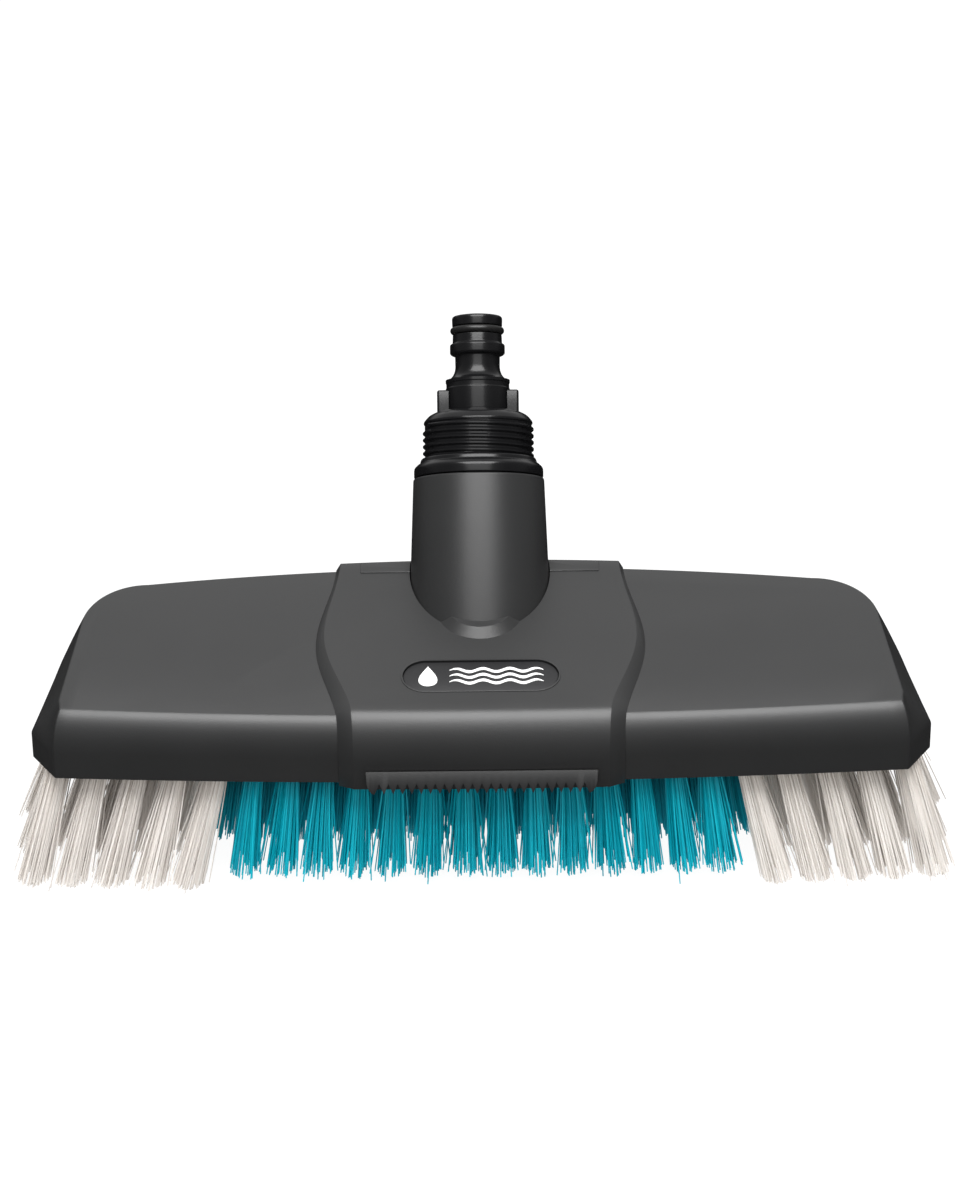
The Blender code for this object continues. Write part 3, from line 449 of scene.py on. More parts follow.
def coneBetween(low, high, extra, vertices=128):
    deselectAll()
    bpy.ops.mesh.primitive_cone_add(
        vertices=vertices, radius1=socketRadius(low) + extra, radius2=socketRadius(high) + extra,
        depth=high - low, location=(0, 0, (low + high) / 2),
    )
    cone = bpy.context.object
    bpy.ops.object.transform_apply(location=True, rotation=True, scale=True)
    placeMesh(cone, socketAxis())
    return cone


def trimBelow(piece, height):
    editAll(piece)
    bpy.ops.mesh.bisect(plane_co=(0, 0, height), plane_no=(0, 0, 1), use_fill=True, clear_inner=True)
    leaveEdit()


def makeHousing():
    low = [(x, y + middleY, skirtBottom) for x, y in skirtHalf]
    rings = [bothHalves(wallRing(i / housing["riseSteps"])) for i in range(housing["riseSteps"] + 1)]
    piece = growRings(bothHalves(low), rings, fillLast=True)
    outward(piece)
    shape = bmesh.new()
    shape.from_mesh(piece.data)
    lid = max(shape.faces, key=lambda face: len(face.verts))
    flip = lid.normal.z < 0
    shape.free()
    if flip:
        editAll(piece)
        bpy.ops.mesh.flip_normals()
        leaveEdit()
    softEdges(piece, housing["crease"], 3, 24)
    step = piece.modifiers.new("wall", "SOLIDIFY")
    step.thickness = housing["wall"]
    step.offset = -1.0
    step.use_even_offset = True
    applyAll(piece)
    hole = coneBetween(-0.050, 0.05, 0.00035)
    trimBelow(hole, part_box("handle_socket")[0].z - 0.0003)
    cutWith(piece, hole)
    return finishPiece(piece, "housingShell", housingPlastic, ["housing_shell"], 30)


makeHousing()
print("housing made")


# saddle cover
cover = {"proud": 0.0025, "gap": 0.0003, "drop": 0.001, "frontHalf": 0.043, "middleHalf": 0.0505,
         "rearHalf": 0.045, "frontBevel": 0.0046, "middleBevel": 0.0026, "rearBevel": 0.0014,
         "columns": 44, "topSteps": 22, "crease": 0.00035, "innerShare": 0.998}
badge = {"length": 0.0468, "width": 0.0136, "y": -0.019, "deep": 0.0011, "thick": 0.0006, "gap": 0.0003,
         "rim": 0.00055, "rimHeight": 0.00025}
ridge = {"half": 0.0374, "y": 0.0334, "reach": 0.0050, "rise": 0.0003}
scallop = {"y": 0.0112, "radius": 0.0130, "slope": math.radians(38), "rise": 0.0023}


def edgeY(half, x, rear):
    runs = half[cornerLast:] if rear else half[:frontLast + 1]
    runs = sorted(runs)
    want = -abs(x)
    for (xa, ya), (xb, yb) in zip(runs, runs[1:]):
        if xa <= want <= xb:
            return mix(ya, yb, (want - xa) / (xb - xa))
    return runs[-1][1]


def coverSection(x):
    # front to back line of the housing at x, as (y, z), with the lower ends dropped
    walls = []
    for rear in (False, True):
        lowY, highY = edgeY(skirtHalf, x, rear), edgeY(panelHalf, x, rear)
        top = panelHeight(highY)
        wall = [(lowY, skirtBottom - cover["drop"]), (lowY, mix(skirtBottom, lipTop, 0.5))]
        for i in range(housing["riseSteps"] + 1):
            across, up = climb(i / housing["riseSteps"], 0.75 if rear else 1.0)
            wall.append((mix(lowY, highY, across), mix(lipTop, top, up)))
        walls.append(wall)
    front, back = walls
    steps = cover["topSteps"]
    middle = []
    for i in range(1, steps):
        y = mix(front[-1][0], back[-1][0], i / steps)
        middle.append((y, panelHeight(y)))
    return front + middle + back[::-1]


def pushedOut(line, distance):
    moved = []
    last = len(line) - 1
    for i, (y, z) in enumerate(line):
        before, after = Vector(line[max(0, i - 1)]), Vector(line[min(last, i + 1)])
        along = (after - before).normalized()
        side = Vector((-along.y, along.x))
        if i in (0, last):
            side = Vector((-1.0 if i == 0 else 1.0, 0.0))
        moved.append((y + side.x * distance, z + side.y * distance))
    return moved


def coverHalf(y):
    end = cover["frontHalf"] if y < 0 else cover["rearHalf"]
    span = frontReach + cover["proud"] if y < 0 else 0.0395
    bump = 0.5 + 0.5 * math.cos(math.pi * min(1.0, abs(y) / span))
    return mix(end, cover["middleHalf"], bump)


def coverBevel(y):
    if y < 0:
        return mix(cover["middleBevel"], cover["frontBevel"], min(1.0, -y / 0.030))
    return mix(cover["middleBevel"], cover["rearBevel"], min(1.0, y / 0.030))


def panelFrame(y):
    # a frame on the cover's upper face, Z straight out of it
    out = cover["proud"] / math.cos(panelSlope)
    place = Vector((0.0, y + middleY, panelHeight(y) + out))
    return Matrix.Translation(place) @ Matrix.Rotation(panelSlope, 4, "X")


def stadiumSolid(length, width, low, high, vertices=96):
    # a round disc pulled apart along X
    deselectAll()
    bpy.ops.mesh.primitive_cylinder_add(
        vertices=vertices, radius=width / 2, depth=high - low, location=(0, 0, (low + high) / 2)
    )
    piece = bpy.context.object
    bpy.ops.object.transform_apply(location=True, rotation=True, scale=True)
    for side in (-1, 1):
        editAll(piece)
        bpy.ops.mesh.select_all(action="DESELECT")
        shape = bmesh.from_edit_mesh(piece.data)
        for vertex in shape.verts:
            if vertex.co.x * side > 0.0001:
                vertex.select_set(True)
        bmesh.update_edit_mesh(piece.data)
        bpy.ops.transform.translate(value=(side * (length - width) / 2, 0, 0))
        leaveEdit()
    return piece


def makeCover():
    depths = [y for y, z in coverSection(0.0)]
    rings = []
    columns = cover["columns"]
    for k in range(-1, columns + 2):
        ends = k in (-1, columns + 1)
        share = 2 * min(max(k, 0), columns) / columns - 1
        outer, inner = [], []
        for j, depth in enumerate(depths):
            half = coverHalf(depth)
            flat = half - coverBevel(depth)
            outer.append((share * (half if ends else flat), j, cover["gap"] if ends else cover["proud"]))
            inner.append((share * half * (1.0 if ends else cover["innerShare"]), j, cover["gap"]))
        rings.append(outer + inner[::-1])
    known = {}

    def spot(x, j, distance):
        key = (round(abs(x), 5), distance)
        if key not in known:
            known[key] = pushedOut(coverSection(x), distance)
        y, z = known[key][j]
        return (x, y + middleY, z)

    placed = [[spot(*point) for point in ring] for ring in rings]
    piece = growRings(placed[0], placed[1:])
    outward(piece)
    softEdges(piece, cover["crease"], 2, 24)
    return piece


def ridgeBar():
    deselectAll()
    bpy.ops.mesh.primitive_cube_add(size=1.0)
    bar = bpy.context.object
    bar.scale = (2 * ridge["half"], ridge["reach"], 2 * ridge["rise"])
    bpy.ops.object.transform_apply(location=True, rotation=True, scale=True)
    softEdges(bar, ridge["rise"] * 0.7, 2, 30)
    placeMesh(bar, panelFrame(ridge["y"]))
    return bar


def scallopCone():
    drop = 0.001
    deselectAll()
    bpy.ops.mesh.primitive_cone_add(
        vertices=96, radius1=scallop["radius"] + drop / math.tan(scallop["slope"]),
        radius2=scallop["radius"] - scallop["rise"] / math.tan(scallop["slope"]),
        depth=scallop["rise"] + drop, location=(0, 0, (scallop["rise"] - drop) / 2),
    )
    cone = bpy.context.object
    bpy.ops.object.transform_apply(location=True, rotation=True, scale=True)
    placeMesh(cone, panelFrame(scallop["y"]))
    return cone


def scraperFrame():
    front = middleY - frontReach - cover["proud"] - scraper["proud"]
    place = Vector((0.0, front, skirtBottom - cover["drop"] + 0.0050))
    return Matrix.Translation(place) @ Matrix.Rotation(scraper["droop"], 4, "X")


def finishCover():
    piece = makeCover()
    cutWith(piece, ridgeBar(), "UNION")
    cutWith(piece, scallopCone(), "UNION")
    length, width = badge["length"] + 2 * badge["gap"], badge["width"] + 2 * badge["gap"]
    rim = stadiumSolid(length + 2 * badge["rim"], width + 2 * badge["rim"], -0.0006, badge["rimHeight"])
    softEdges(rim, 0.00018, 2, 40)
    placeMesh(rim, panelFrame(badge["y"]))
    cutWith(piece, rim, "UNION")
    recess = stadiumSolid(length, width, -badge["deep"], 0.002)
    placeMesh(recess, panelFrame(badge["y"]))
    cutWith(piece, recess)
    deselectAll()
    bpy.ops.mesh.primitive_cube_add(size=1.0, location=(0, -0.0021, 0))
    slot = bpy.context.object
    slot.scale = (2 * (scraper["half"] + 0.0003), 0.0080, scraper["thick"] + 0.0006)
    bpy.ops.object.transform_apply(location=True, rotation=True, scale=True)
    placeMesh(slot, scraperFrame())
    cutWith(piece, slot)
    hole = coneBetween(-0.050, 0.05, 0.00035)
    cutWith(piece, hole)
    return finishPiece(piece, "centerCover", housingPlastic, ["center_cover"], 24)


# scraper strip
scraper = {"half": 0.0348, "reach": 0.0052, "root": 0.0016, "thick": 0.0018, "teeth": 23, "pitch": 0.0028,
           "deep": 0.0031, "droop": math.radians(66), "edge": 0.00015, "proud": 0.0009}


def makeScraper():
    # half of a tooth on each column; the ends curve back to the root
    teethHalf = scraper["pitch"] * scraper["teeth"] / 2
    corner = scraper["half"] - teethHalf
    front = []
    for i in range(0, 9):
        angle = math.pi / 2 * i / 8
        x = -scraper["half"] + corner * (1 - math.cos(angle))
        front.append((x, -scraper["reach"] * math.sin(angle)))
    for i in range(scraper["teeth"]):
        x = -teethHalf + scraper["pitch"] * i
        front.append((x + scraper["pitch"] / 2, -scraper["reach"] + scraper["deep"]))
        front.append((x + scraper["pitch"], -scraper["reach"]))
    for i in range(1, 9):
        angle = math.pi / 2 * i / 8
        front.append((teethHalf + corner * math.sin(angle), -scraper["reach"] * math.cos(angle)))
    columns = len(front) - 1
    deselectAll()
    bpy.ops.mesh.primitive_grid_add(x_subdivisions=columns, y_subdivisions=1, size=2.0)
    piece = bpy.context.object
    for vertex in piece.data.vertices:
        column = round((vertex.co.x + 1) / 2 * columns)
        x, y = front[column]
        back = vertex.co.y > 0
        vertex.co = (x, scraper["root"] if back else y, -scraper["thick"] / 2)
    editAll(piece)
    bpy.ops.mesh.extrude_region_move(TRANSFORM_OT_translate={"value": (0, 0, scraper["thick"])})
    leaveEdit()
    outward(piece)
    softEdges(piece, scraper["edge"], 2, 30)
    placeMesh(piece, scraperFrame())
    return finishPiece(piece, "scraperBlade", scraperShadedPlastic, ["scraper_blade"], 25)


# badge with a water drop and waves
def makeBadge():
    low = -badge["deep"] + badge["gap"]
    piece = stadiumSolid(badge["length"], badge["width"], low, low + badge["thick"])
    softEdges(piece, 0.0002, 2, 40)
    placeMesh(piece, panelFrame(badge["y"]))
    return finishPiece(piece, "badgePlate", badgePlastic, ["badge_plate"])


emblem = {"proud": 0.00022, "dropX": -0.0160, "dropRadius": 0.0040, "dropTall": 0.0047,
          "waveLeft": -0.0095, "waveRight": 0.0190, "waveTall": 0.00075, "turns": 3.5, "stroke": 0.00125,
          "lines": (0.0027, 0.0, -0.0027), "waveSteps": 72}


def embossed(piece, name):
    low = -badge["deep"] + badge["gap"] + badge["thick"]
    editAll(piece)
    bpy.ops.mesh.extrude_region_move(TRANSFORM_OT_translate={"value": (0, 0, emblem["proud"])})
    leaveEdit()
    outward(piece)
    softEdges(piece, 0.00006, 1, 40)
    placeMesh(piece, panelFrame(badge["y"]) @ Matrix.Translation((0, 0, low - 0.00002)))
    return finishPiece(piece, name, emblemPlastic, [])


def makeEmblem():
    deselectAll()
    bpy.ops.mesh.primitive_circle_add(vertices=64, radius=emblem["dropRadius"], fill_type="NGON")
    drop = bpy.context.object
    for vertex in drop.data.vertices:
        turn = math.atan2(vertex.co.x, vertex.co.y)
        across = math.sin(turn) * abs(math.sin(turn / 2)) ** 1.4
        x = emblem["dropX"] + emblem["dropRadius"] * across
        vertex.co = (x, emblem["dropTall"] * math.cos(turn), 0)
    embossed(drop, "badgeDrop")
    for number, height in enumerate(emblem["lines"], start=1):
        deselectAll()
        bpy.ops.mesh.primitive_grid_add(x_subdivisions=emblem["waveSteps"], y_subdivisions=1, size=2.0)
        wave = bpy.context.object
        for vertex in wave.data.vertices:
            share = (vertex.co.x + 1) / 2
            side = 1 if vertex.co.y > 0 else -1
            x = mix(emblem["waveLeft"], emblem["waveRight"], share)
            phase = 2 * math.pi * emblem["turns"] * share
            thin = min(1.0, 6 * share + 0.25, 6 * (1 - share) + 0.25)
            y = height + emblem["waveTall"] * math.sin(phase) + side * emblem["stroke"] / 2 * thin
            vertex.co = (x, y, 0)
        embossed(wave, "badgeWave" + str(number))


# handle socket
socketSizes = {"length": 0.0285, "wall": 0.0026, "flangeHalf": 0.032, "flangeDepth": 0.059,
               "flangeThick": 0.003, "flangeY": 0.0045, "inlet": 0.0065, "rimEdge": 0.0007}


def makeSocket():
    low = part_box("handle_socket")[0]
    piece = coneBetween(-0.050, socketSizes["length"], 0.0)
    softEdges(piece, socketSizes["rimEdge"], 3, 60)
    trimBelow(piece, low.z)
    deselectAll()
    bpy.ops.mesh.primitive_cube_add(size=1.0)
    flange = bpy.context.object
    thick = socketSizes["flangeThick"]
    flange.scale = (2 * socketSizes["flangeHalf"], socketSizes["flangeDepth"], thick)
    flange.location = (0, middleY + socketSizes["flangeY"], low.z + thick / 2)
    bpy.ops.object.transform_apply(location=True, rotation=True, scale=True)
    cutWith(piece, flange, "UNION")
    bore = coneBetween(-0.050, 0.05, -socketSizes["wall"])
    trimBelow(bore, low.z + thick)
    cutWith(piece, bore)
    inletLow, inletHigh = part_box("duct_seal")
    deselectAll()
    bpy.ops.mesh.primitive_cylinder_add(
        vertices=48, radius=socketSizes["inlet"], depth=0.02,
        location=(0, (inletLow.y + inletHigh.y) / 2, low.z),
    )
    cutWith(piece, bpy.context.object)
    return finishPiece(piece, "handleSocket", socketLightenedPlastic, ["handle_socket"])


# hose connector: heights are counted down from the nipple's tip
connector = {"reach": 0.0800, "spigot": 0.010, "spigotTop": 0.0515, "bore": 0.004, "stem": 0.0069,
             "body": 0.0101, "sealMajor": 0.00738, "sealMinor": 0.00112, "sealDepth": 0.0047}


def onAxis(piece):
    placeMesh(piece, socketAxis() @ Matrix.Translation((0, 0, connector["reach"])))


def rounded(line, radius, steps=4):
    # a closed line of (radius, depth) with its corners rounded
    made = []
    count = len(line)
    for i, point in enumerate(line):
        here, before, after = Vector(point[:2]), Vector(line[i - 1][:2]), Vector(line[(i + 1) % count][:2])
        turn = point[2] if len(point) > 2 else radius
        back, ahead = before - here, after - here
        turn = min(turn, back.length * 0.45, ahead.length * 0.45)
        start, end = here + back.normalized() * turn, here + ahead.normalized() * turn
        for k in range(steps + 1):
            t = k / steps
            made.append(tuple(start * (1 - t) ** 2 + here * 2 * t * (1 - t) + end * t ** 2))
    return made


def makeNipple():
    # radius, depth and corner radius: tip, ring groove, locking ring, waist, body and stem
    bottom = connector["spigotTop"] + connector["spigot"]
    fillet = []
    for i in range(11):
        angle = math.pi / 2 * i / 10
        radius = connector["body"] - 0.0031 * math.cos(angle)
        fillet.append((radius, 0.0160 + 0.0044 * math.sin(angle), 0.0))
    line = [
        (0.0058, 0.0, 0.0006), (0.00795, 0.0002, 0.0012), (0.00785, 0.0034, 0.0003),
        (0.0067, 0.0034, 0.0002), (0.0067, 0.0060, 0.0002), (0.0077, 0.0060, 0.0003),
        (0.0078, 0.0088, 0.0003), (0.00863, 0.0092, 0.0005), (0.00863, 0.0120, 0.0005),
        (0.0080, 0.0125, 0.0003), (0.00705, 0.0126, 0.0004),
    ]
    line += fillet
    line += [
        (connector["body"], 0.0213, 0.0003), (connector["body"] - 0.0002, 0.0215, 0.0001),
        (connector["body"] - 0.0002, 0.0229, 0.0001), (connector["body"], 0.0232, 0.0001),
        (connector["body"], 0.0302, 0.0003), (connector["stem"], 0.0302, 0.0002),
        (connector["stem"], bottom, 0.0002), (connector["bore"], bottom, 0.0002),
        (connector["bore"], 0.0, 0.0006),
    ]
    profile = [(radius, -depth) for radius, depth in rounded(line, 0.0003)]
    piece = lathe("nipple", profile, 96)
    onAxis(piece)
    nodes = ["quick_connect_nipple"]
    return finishPiece(piece, "connectNipple", connectorPlastic, nodes, 50)


def makeNippleRing():
    deselectAll()
    bpy.ops.mesh.primitive_torus_add(
        major_segments=96, minor_segments=20, major_radius=connector["sealMajor"],
        minor_radius=connector["sealMinor"], location=(0, 0, -connector["sealDepth"]),
    )
    piece = bpy.context.object
    bpy.ops.object.transform_apply(location=True, rotation=True, scale=True)
    onAxis(piece)
    return finishPiece(piece, "nippleRing", sealRubber, ["nipple_o_ring"], 80)


thread = {"crest": 0.01745, "root": 0.0168, "sink": 0.0006, "pitch": 0.0021, "top": 0.0352, "turns": 4.5,
          "steps": 72, "start": math.radians(205)}
collar = {"top": 0.0305, "shoulder": 0.0343, "ring": 0.0453, "flange": 0.0471, "bottom": 0.0512,
          "lug": (0.0042, 0.0100, 0.0066), "lugFar": 0.0128}


def makeThread():
    # a ridge that climbs round the collar, thin at its root and cut square at its start
    deselectAll()
    bpy.ops.mesh.primitive_circle_add(vertices=6, radius=0.001)
    piece = bpy.context.object
    inside = thread["root"] - thread["sink"]
    half = thread["pitch"] / 2
    section = [
        (inside, half * 0.80), (thread["root"], half * 0.78), (thread["crest"], half * 0.22),
        (thread["crest"], -half * 0.22), (thread["root"], -half * 0.78), (inside, -half * 0.80),
    ]
    for vertex, (radius, height) in zip(piece.data.vertices, section):
        vertex.co = (radius, 0, height - thread["top"])
    editAll(piece)
    bpy.ops.mesh.edge_face_add()
    leaveEdit()
    step = piece.modifiers.new("climb", "SCREW")
    step.angle = 2 * math.pi * thread["turns"]
    step.screw_offset = -thread["pitch"] * thread["turns"]
    step.steps = int(thread["steps"] * thread["turns"])
    step.render_steps = step.steps
    step.use_merge_vertices = False
    applyAll(piece)
    placeMesh(piece, Matrix.Rotation(thread["start"], 4, "Z"))
    editAll(piece)
    bpy.ops.mesh.remove_doubles(threshold=weldDistance)
    bpy.ops.mesh.select_all(action="SELECT")
    bpy.ops.mesh.fill_holes(sides=8)
    bpy.ops.mesh.select_all(action="SELECT")
    bpy.ops.mesh.normals_make_consistent(inside=False)
    leaveEdit()
    faceOut(piece)
    return piece


def makeCollar():
    spigot = socketRadius(socketSizes["length"]) - socketSizes["wall"] - clearance
    bottom = connector["spigotTop"] + connector["spigot"]
    bore = connector["stem"] + clearance
    line = [
        (0.0112, collar["top"] - 0.0003, 0.0004), (0.0131, collar["top"] + 0.0001, 0.0008),
        (0.0156, collar["top"] + 0.0013, 0.0012), (0.0171, collar["shoulder"] - 0.0006, 0.0010),
        (0.0171, collar["shoulder"], 0.0001), (thread["root"], collar["shoulder"] + 0.0002, 0.0001),
        (thread["root"], collar["ring"] - 0.0004, 0.0003), (0.0180, collar["ring"], 0.0006),
        (0.0184, collar["flange"] - 0.0004, 0.0004), (0.0190, collar["flange"], 0.0004),
        (0.0203, collar["flange"] + 0.0012, 0.0008),
        (0.0203, collar["bottom"], 0.0003), (spigot, collar["bottom"], 0.0001), (spigot, bottom, 0.0003),
        (bore, bottom, 0.0002), (bore, collar["top"], 0.0002),
    ]
    profile = [(radius, -depth) for radius, depth in rounded(line, 0.0003)]
    piece = lathe("collar", profile, 112)
    cutWith(piece, makeThread(), "UNION")
    width, length, height = collar["lug"]
    for side in (-1, 1):
        deselectAll()
        bpy.ops.mesh.primitive_cube_add(size=1.0)
        lug = bpy.context.object
        lug.scale = (width, length, height + 0.0015)
        lug.location = (side * (collar["lugFar"] - width / 2), 0, -collar["top"] + (height - 0.0015) / 2)
        bpy.ops.object.transform_apply(location=True, rotation=True, scale=True)
        softEdges(lug, 0.0007, 3, 40)
        deselectAll()
        bpy.ops.mesh.primitive_cylinder_add(
            vertices=96, radius=connector["body"] + clearance, depth=0.02,
            location=(0, 0, -collar["top"] + 0.010),
        )
        cutWith(lug, bpy.context.object)
        cutWith(piece, lug, "UNION")
    onAxis(piece)
    return finishPiece(piece, "threadedCollar", connectorPlastic, ["threaded_collar"], 40)


finishCover()
makeScraper()
makeBadge()
makeEmblem()
makeSocket()
makeNipple()
makeNippleRing()
makeCollar()
print("cover, socket and connector made")


# bristles
rows = (
    {"y": -0.0280, "splay": -0.222, "teal": 14, "white": 5, "margin": 0.0100, "extra": 0.00, "bow": 1.0},
    {"y": -0.0105, "splay": -0.087, "teal": 15, "white": 5, "margin": 0.0090, "extra": 0.06, "bow": 0.4},
    {"y": 0.0065, "splay": 0.087, "teal": 14, "white": 5, "margin": 0.0076, "extra": 0.08, "bow": -0.2},
    {"y": 0.0235, "splay": 0.222, "teal": 15, "white": 4, "margin": 0.0092, "extra": 0.10, "bow": -0.4},
)
tealBristle = {"count": 92, "radius": 0.00027, "root": 0.0021, "tip": 0.0043, "core": 0.72,
               "tipHeight": 0.005, "uneven": 0.0014, "longest": 1.03, "strays": 0.11, "curl": 0.0005}
whiteBristle = {"count": 130, "radius": 0.00026, "root": 0.0029, "tip": 0.0047, "core": 0.86,
                "tipHeight": 0.0, "uneven": 0.0012, "longest": 1.0, "strays": 0.035, "curl": 0.00032}
tuft = {"stations": 5, "coreReach": 0.86, "coreEnd": 0.75, "ringFrom": 0.66, "bow": 0.0003,
        "thinner": 0.18, "lean": (0.86, 1.10), "strayLean": (1.25, 1.9), "short": 0.12, "shortBy": 0.03,
        "length": 0.046}
stand = {"pitch": 0.0105, "groupStep": 0.011, "rootDepth": 0.005, "tealSplay": 0.132, "tealHalf": 0.06825,
         "whiteSplay": 0.268}
goldenAngle = 2.39996
blockBottom = blockLow.z


def rowY(row, x):
    noseX = halfWidth - skirtSizes["chamfer"][0]
    return row["y"] + row["bow"] * skirtSizes["frontBulge"] * (x / noseX) ** 2


def whiteHalfWidth(y):
    noseY = -frontReach + skirtSizes["frontBulge"] + skirtSizes["chamfer"][1]
    return halfWidth - math.tan(skirtSizes["taper"]) * (y - noseY)


def tuftsOf(row, group):
    if group == "teal":
        edge = (row["teal"] - 1) / 2
        places = [(i - edge) * stand["pitch"] for i in range(row["teal"])]
        splays = [stand["tealSplay"] * x / stand["tealHalf"] for x in places]
    else:
        side = -1 if group == "white_left" else 1
        first = (row["teal"] - 1) / 2 * stand["pitch"] + stand["groupStep"]
        guess = whiteHalfWidth(row["y"]) - row["margin"]
        last = whiteHalfWidth(rowY(row, guess)) - row["margin"]
        gaps = row["white"] - 1
        places = [side * mix(first, last, i / gaps) for i in range(gaps + 1)]
        splays = [side * (stand["whiteSplay"] + row["extra"] * i / gaps) for i in range(gaps + 1)]
    tip = tealBristle["tipHeight"] if group == "teal" else whiteBristle["tipHeight"]
    found = []
    for x, splay in zip(places, splays):
        y = rowY(row, x)
        drop = blockBottom - tip
        deep = stand["rootDepth"]
        root = Vector((x - splay * deep, y - row["splay"] * deep + middleY, blockBottom + deep))
        end = Vector((x + splay * drop, y + row["splay"] * drop + middleY, tip))
        found.append((root, end))
    return found


def addTube(verts, faces, tones, line, radii, sides, tone):
    # a thin tube through the places in line, closed at both ends
    base = len(verts)
    for place, radius in zip(line, radii):
        for k in range(sides):
            angle = 2 * math.pi * k / sides + tone * 9
            verts.append((place.x + radius * math.cos(angle), place.y + radius * math.sin(angle), place.z))
            tones.append(tone)
    rings = len(line)
    for i in range(rings - 1):
        for k in range(sides):
            a, b = base + i * sides + k, base + i * sides + (k + 1) % sides
            faces.append((b, a, a + sides, b + sides))
    faces.append(tuple(base + k for k in range(sides)))
    faces.append(tuple(base + (rings - 1) * sides + k for k in reversed(range(sides))))


def addTuft(verts, faces, tones, root, end, kind, dice):
    # a solid core with filaments round it; a few of them stray outwards or are cut short
    along = end - root
    bow = Vector((dice.uniform(-1, 1), dice.uniform(-1, 1), 0)) * tuft["bow"]
    last = tuft["stations"] - 1
    line, radii = [], []
    for i in range(last + 1):
        t = i / last * tuft["coreReach"]
        line.append(root + along * t + bow * math.sin(math.pi * t))
        width = mix(kind["root"], kind["tip"], t) * kind["core"]
        radii.append(width * (1.0 if i < last else tuft["coreEnd"]))
    addTube(verts, faces, tones, line, radii, 10, 0.5)
    for number in range(kind["count"]):
        reach = mix(tuft["ringFrom"], 1.0, math.sqrt((number + 0.5) / kind["count"]))
        angle = number * goldenAngle + dice.uniform(-0.25, 0.25)
        spread = Vector((math.cos(angle), math.sin(angle), 0)) * reach
        stray = dice.random() < kind["strays"]
        lean = dice.uniform(*tuft["strayLean"]) if stray else dice.uniform(*tuft["lean"])
        wander = Vector((dice.gauss(0, 1), dice.gauss(0, 1), 0)) * kind["curl"] * (1.6 if stray else 0.7)
        longer = 1.0 + dice.gauss(0, 1) * kind["uneven"] / tuft["length"]
        longer -= tuft["shortBy"] if dice.random() < tuft["short"] else 0.0
        bend = Vector((dice.gauss(0, 1), dice.gauss(0, 1), 0)) * kind["curl"] * 0.25
        line, radii = [], []
        for i in range(last + 1):
            t = i / last
            width = mix(kind["root"], kind["tip"] * lean, t)
            place = root + along * (t * min(longer, kind["longest"])) + spread * width + wander * t
            place += bend * math.sin(math.pi * t) + bow * math.sin(math.pi * t)
            line.append(place)
            radii.append(kind["radius"] * (1.0 - tuft["thinner"] * t))
        addTube(verts, faces, tones, line, radii, 3, dice.random())


def bristleMaterial(name, settings):
    # drawn filament: tone changes at random from filament to filament; the darkening towards the root is
    # painted shade under the housing
    material, shader, place = startMaterial(name)
    tone = place.node("ShaderNodeAttribute", {"attribute_name": "tone"}, None, 2)
    height = place.node("ShaderNodeSeparateXYZ", None, {0: place}, 2)
    share = height * (1.0 / blockBottom)
    up = share.node(
        "ShaderNodeMapRange", {"interpolation_type": "SMOOTHSTEP"},
        {"Value": share, "From Min": settings["from"], "From Max": 1.0, "To Min": 0.0, "To Max": 1.0},
    )
    shade = tone * 0.55 + place.noise(240.0) * 0.45
    color = shade.blendColor(settings["dark"], settings["light"])
    # the mix towards the root colour near the block is painted shade
    deep = up.node(
        "ShaderNodeMix", {"data_type": "RGBA"},
        {0: up * settings["rootShadeShare"], 6: color, 7: (*settings["root"], 1.0)}, 2,
    )
    deep.into(shader.inputs["Base Color"])
    (settings["rough"] + tone * 0.12).into(shader.inputs["Roughness"])
    shader.inputs["Specular IOR Level"].default_value = settings["specular"]
    return material


# the root colours and their shares are painted shade under the housing; the dark and light tones are
# random filament tone
tealFilament = bristleMaterial("teal filament", {
    "dark": (0.000, 0.270, 0.370), "light": (0.000, 0.470, 0.570), "root": (0.0, 0.060, 0.090),
    "from": 0.70, "rootShadeShare": 0.8, "rough": 0.46, "specular": 0.22})
# the rows behind the front row get a darker copy of the teal filament: painted shade
shadedInnerTealFilament = bristleMaterial("inner teal filament with painted shade", {
    "dark": (0.000, 0.230, 0.320), "light": (0.000, 0.400, 0.500), "root": (0.0, 0.008, 0.016),
    "from": 0.30, "rootShadeShare": 1.0, "rough": 0.5, "specular": 0.15})
whiteFilament = bristleMaterial("white filament", {
    "dark": (0.66, 0.62, 0.58), "light": (0.82, 0.78, 0.74), "root": (0.66, 0.60, 0.54),
    "from": 0.50, "rootShadeShare": 0.6, "rough": 0.55, "specular": 0.2})


groupNames = {"white_left": "WhiteLeft", "teal": "Teal", "white_right": "WhiteRight"}


def makeBristles(number, row, group):
    kind = tealBristle if group == "teal" else whiteBristle
    dice = random.Random(number * 10 + len(group))
    verts, faces, tones = [], [], []
    for root, end in tuftsOf(row, group):
        addTuft(verts, faces, tones, root, end, kind, dice)
    mesh = bpy.data.meshes.new("bristles")
    mesh.from_pydata(verts, [], faces)
    layer = mesh.attributes.new("tone", "FLOAT", "POINT")
    layer.data.foreach_set("value", tones)
    piece = bpy.data.objects.new("bristles", mesh)
    bpy.context.scene.collection.objects.link(piece)
    name = "bristleRow" + str(number) + groupNames[group]
    material = whiteFilament
    if group == "teal":
        # rows behind the front row take the darker copy of the teal, as painted shade
        material = tealFilament if number == 1 else shadedInnerTealFilament
    return finishPiece(piece, name, material, ["bristle_row_" + str(number) + "_" + group], 80)


for rowNumber, bristleRow in enumerate(rows, start=1):
    for groupName in groupNames:
        makeBristles(rowNumber, bristleRow, groupName)
print("bristles made")


# camera, floor and light
view = {"eye": (0.0, -1.02409, 0.62276), "down": 28.0, "roll": -0.6, "lens": 142.57}


